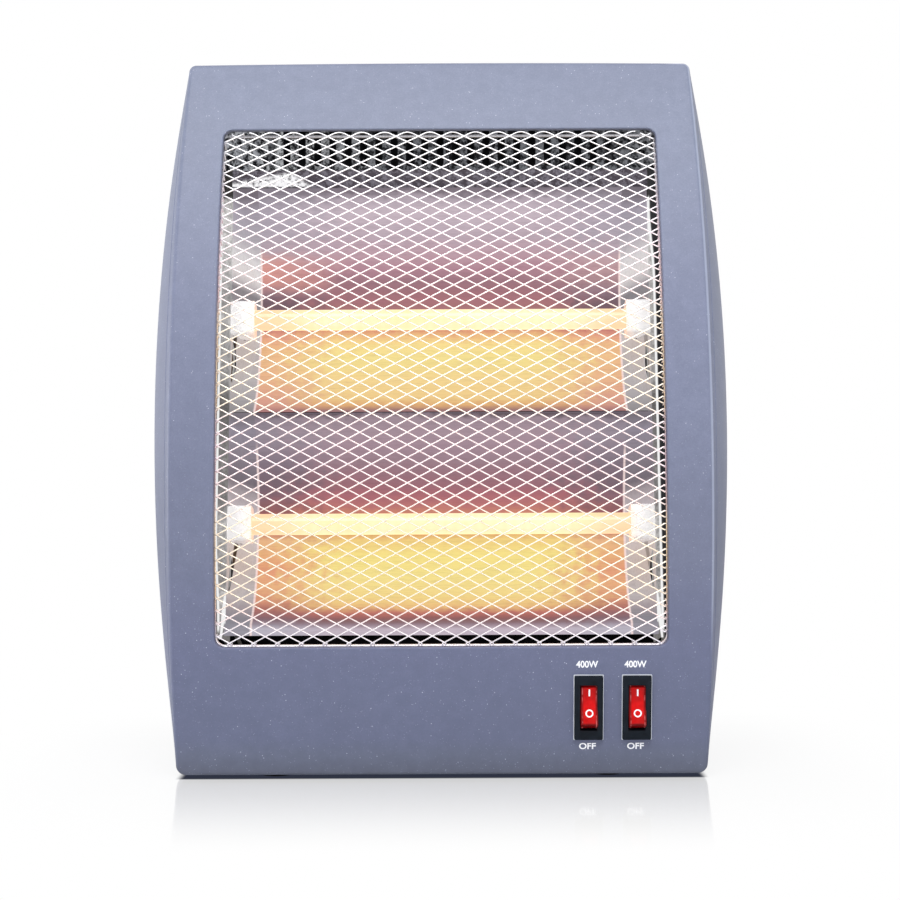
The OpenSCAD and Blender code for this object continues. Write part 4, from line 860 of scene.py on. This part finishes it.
def arch(x, way, depth):
    """The bend in which a wire meets its neighbour of the other layer, over the last crossings."""
    meeting = MESH_D + WIRE_T + LAYER_GAP / 2
    flattening = 2 ** ARCH_POWER / (ARCH_POWER + 1)
    points = []
    for f in steps(0, 1, 8):
        a = f * MESH_PITCH / 2
        up = ARCH_LIFT * SLOPE * a * (1 - flattening * (a / MESH_PITCH) ** ARCH_POWER)
        points.append((x + way * a, LAST_ROW + up, mix(depth, meeting, f ** 2)))
    return points


def turned_back(x, s, depth):
    """Where a wire's end bends back round the window's edge."""
    out = way_out(x, s)
    bend = max(0.2, min(BEND, -outside(x, s)))
    turn = [(x + bend * math.sin(a) * out.x, s + bend * math.sin(a) * out.y,
             depth + bend * (1 - math.cos(a))) for a in steps(0, math.pi / 2, 4)[1:]]
    return [*turn, (*turn[-1][:2], MESH_END_D)]


def wire_path(s0, slope, depth):
    """A wire across the bow, with its ends turned back, or run into its neighbour at the top."""
    ends = sorted(((MESH_LOW - s0) / slope, (MESH_HIGH - s0) / slope))
    xa, xb = max(-MESH_HALF, ends[0]), min(MESH_HALF, ends[1])
    middle = (xa + xb) / 2
    if xb - xa < SHORTEST_WIRE or outside(middle, s0 + slope * middle) > -2 * BEND:
        return []
    x0, x1 = crossing(s0, slope, middle, xa - 1), crossing(s0, slope, middle, xb + 1)
    way, top = math.copysign(1, slope), (LAST_ROW - s0) / slope
    low, high = (x0, x1) if way > 0 else (x1, x0)
    arched = abs(top) < MESH_HALF - MESH_R - MESH_PITCH / 2
    count = max(2, round((x1 - x0) / WIRE_STEP))
    line = [(x, s0 + slope * x, depth) for x in steps(low, top if arched else high, count)]
    end = arch(top, way, depth)[1:] if arched else turned_back(*line[-1])
    return turned_back(*line[0])[::-1] + line + end


def grille_wires():
    points, faces = [], []
    for side, slope in enumerate((SLOPE, -SLOPE)):
        for i in range(-MESH_COLS - 1, MESH_ROWS + MESH_COLS + 2):
            path = wire_path(MESH_FIRST + i * ROW_H - slope * FIRST_CROSSING, slope,
                             MESH_D + WIRE_T / 2 + side * (WIRE_T + LAYER_GAP))
            if path:
                path = [over_bow(*p) for p in path]
                more, closed = tube(path, WIRE_T / 2, WIRE_SIDES, len(points), (0, 1, 0))
                points += more
                faces += closed
    return dress(build("grille_wires", points, faces), "wire", stands_for=["grille_mesh"], smooth=60)


# ---- Heating block ----

ARC_STEPS = 64


def from_leaned(x, y, z):
    """A point of the leaning block, whose origin is on the lower tube's axis, in the heater's frame."""
    return (x, TUBE_Y + y * math.cos(LEAN) + z * math.sin(LEAN),
            TUBE_Z + z * math.cos(LEAN) - y * math.sin(LEAN))


def splay_x(y):
    """Half a trough's width at that depth in the block."""
    return mix(MOUTH_W, BACK_W, (y + MOUTH_D) / (MOUTH_D + DEEP_D)) / 2


def trough(name, node, finish, span, lip_low, lip_high):
    """A bent sheet: its arc, and a flat lip below or a flange above its mouth, past a small fold."""
    depth = MOUTH_D + DEEP_D
    radius = ((span[1] - span[0]) ** 2 / 4 + depth ** 2) / (2 * depth)
    y0, z0 = DEEP_D - radius, (span[0] + span[1]) / 2
    inside, outer = [], []
    for line, r in ((inside, radius), (outer, radius + SHEET_T)):
        reach = math.acos((-MOUTH_D - y0) / r)
        line += [(y0 + r * math.cos(a), z0 + r * math.sin(a)) for a in steps(-reach, reach, ARC_STEPS)]
    if lip_high:
        inside += [(-MOUTH_D - 0.5, span[1] + 0.4), (-MOUTH_D - 0.6, span[1] + 1.2),
                   (-MOUTH_D - 0.6, span[1] + lip_high - PLAY)]
        outer += [(-MOUTH_D + 0.1, span[1] + 0.9), (-MOUTH_D, span[1] + 1.3),
                  (-MOUTH_D, span[1] + lip_high - PLAY)]
    if lip_low:
        inside[:0] = [(-MOUTH_D - 0.6, span[0] - lip_low + PLAY), (-MOUTH_D - 0.5, span[0] - 0.4)]
        outer[:0] = [(-MOUTH_D, span[0] - lip_low + PLAY), (-MOUTH_D + 0.1, span[0] - 0.9)]
    section = inside + outer[::-1]
    n = len(section)
    points = [from_leaned(s * (splay_x(y) + 0.95), y, z) for s in (-1, 1) for y, z in section]
    faces = [(i, (i + 1) % n, n + (i + 1) % n, n + i) for i in range(n)]
    for k in range(n // 2 - 1):
        a, b, c, d = k, k + 1, n - 1 - k, n - 2 - k
        faces += [(a, c, d, b), (a + n, b + n, d + n, c + n)]
    return dress(build(name, points, faces), finish, stands_for=[node], smooth=35)


# ---- Switches ----


def switch_frame(i):
    """The frame of switch i: its origin is on the face and Y goes straight into it."""
    lean = -math.asin((SWITCH_Z - FRONT_Z) / FRONT_R)
    place = Vector((SWITCH_X + i * SWITCH_PITCH, face_y(SWITCH_Z), SWITCH_Z)) * MM
    return Matrix.Translation(place) @ Matrix.Rotation(lean, 4, "X")


def rocker_frame(i):
    return (switch_frame(i) @ Matrix.Translation((0, PIVOT_IN * MM, 0))
            @ Matrix.Rotation(-ROCKER_SWING, 4, "X"))


def slab(name, outline, hole, ends, place):
    """A flat plate with an outline of X and Z, between two ends in Y, and a hole if one is given."""
    points, faces = [], []
    n = len(outline)
    rings = [outline] + ([hole] if hole else [])
    for ring in rings:
        points += [(x, y, z) for y in ends for x, z in ring]
    for k in range(len(rings)):
        o = k * 2 * n
        faces += [(o + i, o + (i + 1) % n, o + n + (i + 1) % n, o + n + i) for i in range(n)]
    if hole:
        for o in (0, n):
            faces += [(o + i, o + (i + 1) % n, o + 2 * n + (i + 1) % n, o + 2 * n + i) for i in range(n)]
    else:
        faces += [tuple(range(n)), tuple(range(2 * n - 1, n - 1, -1))]
    obj = build(name, points, faces)
    obj.data.transform(place)
    return obj


def round_box(w, h, r, x=0, z=0, n=5):
    return [(x + sx * (w / 2 - r) + r * math.cos(a), z + sz * (h / 2 - r) + r * math.sin(a))
            for sx, sz, q in ((1, 1, 0), (-1, 1, 1), (-1, -1, 2), (1, -1, 3))
            for a in steps(q * math.pi / 2, (q + 1) * math.pi / 2, n)]


def ring(r, x, z, n=40):
    return [(x + r * math.cos(a), z + r * math.sin(a)) for a in steps(0, math.tau, n)[:-1]]


def switch(i, side):
    """Switch i: its bezel, the white line round it, and the rocker with its two marks."""
    body = "rocker_" + side
    bezel = softened("switch_housing_" + side, "bezel_" + side, "black", 0.3, smooth=40)
    left = (SWITCH_X + i * SWITCH_PITCH - BEZEL_W / 2) * MM
    for v in bezel.data.vertices:
        v.co.x = left + (v.co.x - left) * BEZEL_SHARE
    width, aside = BEZEL_W * BEZEL_SHARE, BEZEL_W * (BEZEL_SHARE - 1) / 2
    line = slab("bezel_line_" + side, round_box(width + 0.8, BEZEL_H + 0.8, 0.5, aside),
                round_box(width - 0.2, BEZEL_H - 0.1, 0.3, aside), LINE_Y, switch_frame(i))
    dress(line, "outline")
    softened(body, body + "_moulding", "red", 0.35, body, 40)
    # the marks lie on the two halves of the rocker's face, which lean to either side of its middle
    for name, outline, hole, z in (("on_mark_", round_box(0.8, 3.6, 0.3), None, ON_MARK_Z),
                                   ("off_mark_", ring(2.0, 0, 0), ring(1.3, 0, 0), OFF_MARK_Z)):
        tilt = math.copysign(ROCKER_SWING, z)
        y = -PIVOT_IN - ROCKER_OUT - abs(z) * math.tan(ROCKER_SWING)
        place = rocker_frame(i) @ Matrix.Translation((0, y * MM, z * MM)) @ Matrix.Rotation(tilt, 4, "X")
        dress(slab(name + side, outline, hole, MARK_Y, place), "print", body)


def legend(name, words, x, z, width, height):
    """White printed words on the face, centred on x and z."""
    bpy.ops.object.text_add()
    text = bpy.context.object
    text.data.body, text.data.extrude = words, 0.5
    text.data.align_x, text.data.align_y = "CENTER", "CENTER"
    text.data.offset = 0.025
    mesh = bpy.data.meshes.new_from_object(text.evaluated_get(bpy.context.evaluated_depsgraph_get()))
    bpy.data.objects.remove(text)
    co = [v.co for v in mesh.vertices]
    low = Vector(min(c[k] for c in co) for k in range(3))
    high = Vector(max(c[k] for c in co) for k in range(3))
    size = high - low
    mesh.transform(Matrix.Translation(-(low + high) / 2))
    scale = [length * MM / now for length, now in zip((width, height, PRINT_T), size)]
    mesh.transform(Matrix.Diagonal((*scale, 1)))
    lean = -math.asin((z - FRONT_Z) / FRONT_R)
    mesh.transform(Matrix.Translation(Vector((x, face_y(z), z)) * MM)
                   @ Matrix.Rotation(math.pi / 2 + lean, 4, "X"))
    return dress(link(name, mesh), "print")


# ---- The heater ----

front_moulding()
rear_moulding()
tray_moulding()
grille_wires()
softened("grille_border", "grille_border_wire", "border", 0, smooth=70)
trough("upper_trough", "reflector_upper", "upper_trough", HIGH_SPAN, 0, FLANGE_H)
trough("lower_trough", "reflector_lower", "lower_trough", LOW_SPAN, LIP_H, 0)
for level in ("upper", "lower"):
    softened("quartz_tube_" + level, "lit_tube_" + level, "quartz", 0, smooth=40)
    for side in ("left", "right"):
        softened(f"ceramic_cap_{level}_{side}", f"cap_{level}_{side}", "ceramic", 0.5)
for i, side in enumerate(("left", "right")):
    switch(i, side)
    for name, (words, aside, z, width, height) in LEGENDS.items():
        legend(name + side, words, SWITCH_X + i * SWITCH_PITCH + aside, z, width, height)

for finish, kept in {
    "casing": ["rear_panel"],
    "grip": ["grip_cup"],
    "shield": ["heat_shield"],
    "bracket": ["side_bracket_left", "side_bracket_right"],
    "upper_end": [n for n in nodes if n.startswith("end_plate_upper")],
    "lower_end": [n for n in nodes if n.startswith("end_plate_lower")],
    "coil": ["heating_coil_upper", "heating_coil_lower"],
    "ceramic": ["terminal_block"],
    "black": ["tip_switch_body"],
    "gland": ["cord_gland"],
    "brass": ["switch_terminals_left", "switch_terminals_right"],
    "plunger": ["tip_plunger"],
    "spring": ["plunger_spring"],
    "rubber": [n for n in nodes if n.startswith("foot_")],
    "sleeve": [n for n in nodes if n.startswith("lead_")],
    "screw": [n for n in nodes if n.endswith("_screws")],
}.items():
    for node in kept:
        for k in range(len(nodes[node].data.materials)):
            nodes[node].data.materials[k] = finishes[finish].material

# ---- Floor, light and camera ----


def floor():
    """White to the camera, wet close to the heater, and in painted deep shade under it."""
    bpy.ops.mesh.primitive_plane_add(size=40)
    obj = bpy.context.object
    obj.name = "floor"
    f = Finish("pale_floor", None, roughness=0.5, base_color=(0.85, 0.85, 0.86))
    x, y, _ = f.axes()
    base = Socket(f, f.surface.outputs[0])
    seen = f.add("LightPath", output="Is Camera Ray")
    bright = f.add("Emission", {"Color": (1, 1, 1), "Strength": 1.0})
    near = y.ramp(-240, -60) * (1 - y.ramp(50, 200)) * (1 - abs(x).ramp(140, 260))
    plain = f.add("MixShader", {0: 1 - near * 0.2, 1: base, 2: bright})
    mirror = f.add("BsdfGlossy", {"Color": (1, 1, 1), "Roughness": 0.06})
    wet = f.add("MixShader", {0: near * 0.31, 1: plain, 2: mirror})
    # painted deep shade under the heater
    under = (1 - abs(x).ramp(131, 136)) * y.ramp(-56, -52) * (1 - y.ramp(50, 60))
    dark = f.add("Emission", {"Color": shade(48, 52, 66), "Strength": 1.0})
    wet = f.add("MixShader", {0: under, 1: wet, 2: dark})
    both = f.add("MixShader", {0: seen, 1: base, 2: wet})
    f.connect(f.tree.nodes["Material Output"].inputs["Surface"], both)
    obj.data.materials.append(f.material)


def world():
    """White where the camera, a mirror or glass sees it, and dimmer as light on the heater."""
    shell = bpy.data.worlds.new("studio")
    bpy.context.scene.world = shell
    shell.use_nodes = True
    n = Nodes(shell.node_tree)
    camera_ray, mirror_ray, glass_ray = (n.add("LightPath", output=f"Is {kind} Ray")
                                         for kind in ("Camera", "Glossy", "Transmission"))
    seen = camera_ray.at_least(mirror_ray).at_least(glass_ray)
    background = n.tree.nodes["Background"].inputs
    n.connect(background["Strength"], n.add("MapRange", {"Value": seen, "To Min": 0.42}))
    n.connect(background["Color"], (1, 1, 1))


def lamp(name, place, target, size, power):
    """A square lamp that faces its target. Its places and size are in metres."""
    data = bpy.data.lights.new(name, "AREA")
    data.energy, data.size = power, size
    obj = bpy.data.objects.new(name, data)
    obj.location = place
    obj.rotation_euler = (Vector(target) - Vector(place)).to_track_quat("-Z", "Y").to_euler()
    bpy.context.scene.collection.objects.link(obj)


def camera():
    """The photograph's view: level, with the slight roll of its camera."""
    data = bpy.data.cameras.new("camera")
    data.lens, data.sensor_width = FOCAL_LENGTH, SENSOR_W
    obj = bpy.data.objects.new("camera", data)
    obj.location = [c * MM for c in CAMERA_PLACE]
    obj.rotation_euler = (math.pi / 2, CAMERA_ROLL, 0)
    bpy.context.scene.collection.objects.link(obj)
    bpy.context.scene.camera = obj


floor()
world()
lamp("key", (-0.1, -1.1, 1.8), (0, 0, 0.18), 1.2, 28)
lamp("fill", (0.7, -1.6, 0.6), (0, 0, 0.18), 1.4, 6)
lamp("flank", (-1.3, 0.16, 0.28), (-0.1, 0, 0.18), 0.5, 6.5)
camera()
bpy.context.scene.view_settings.view_transform = "Standard"
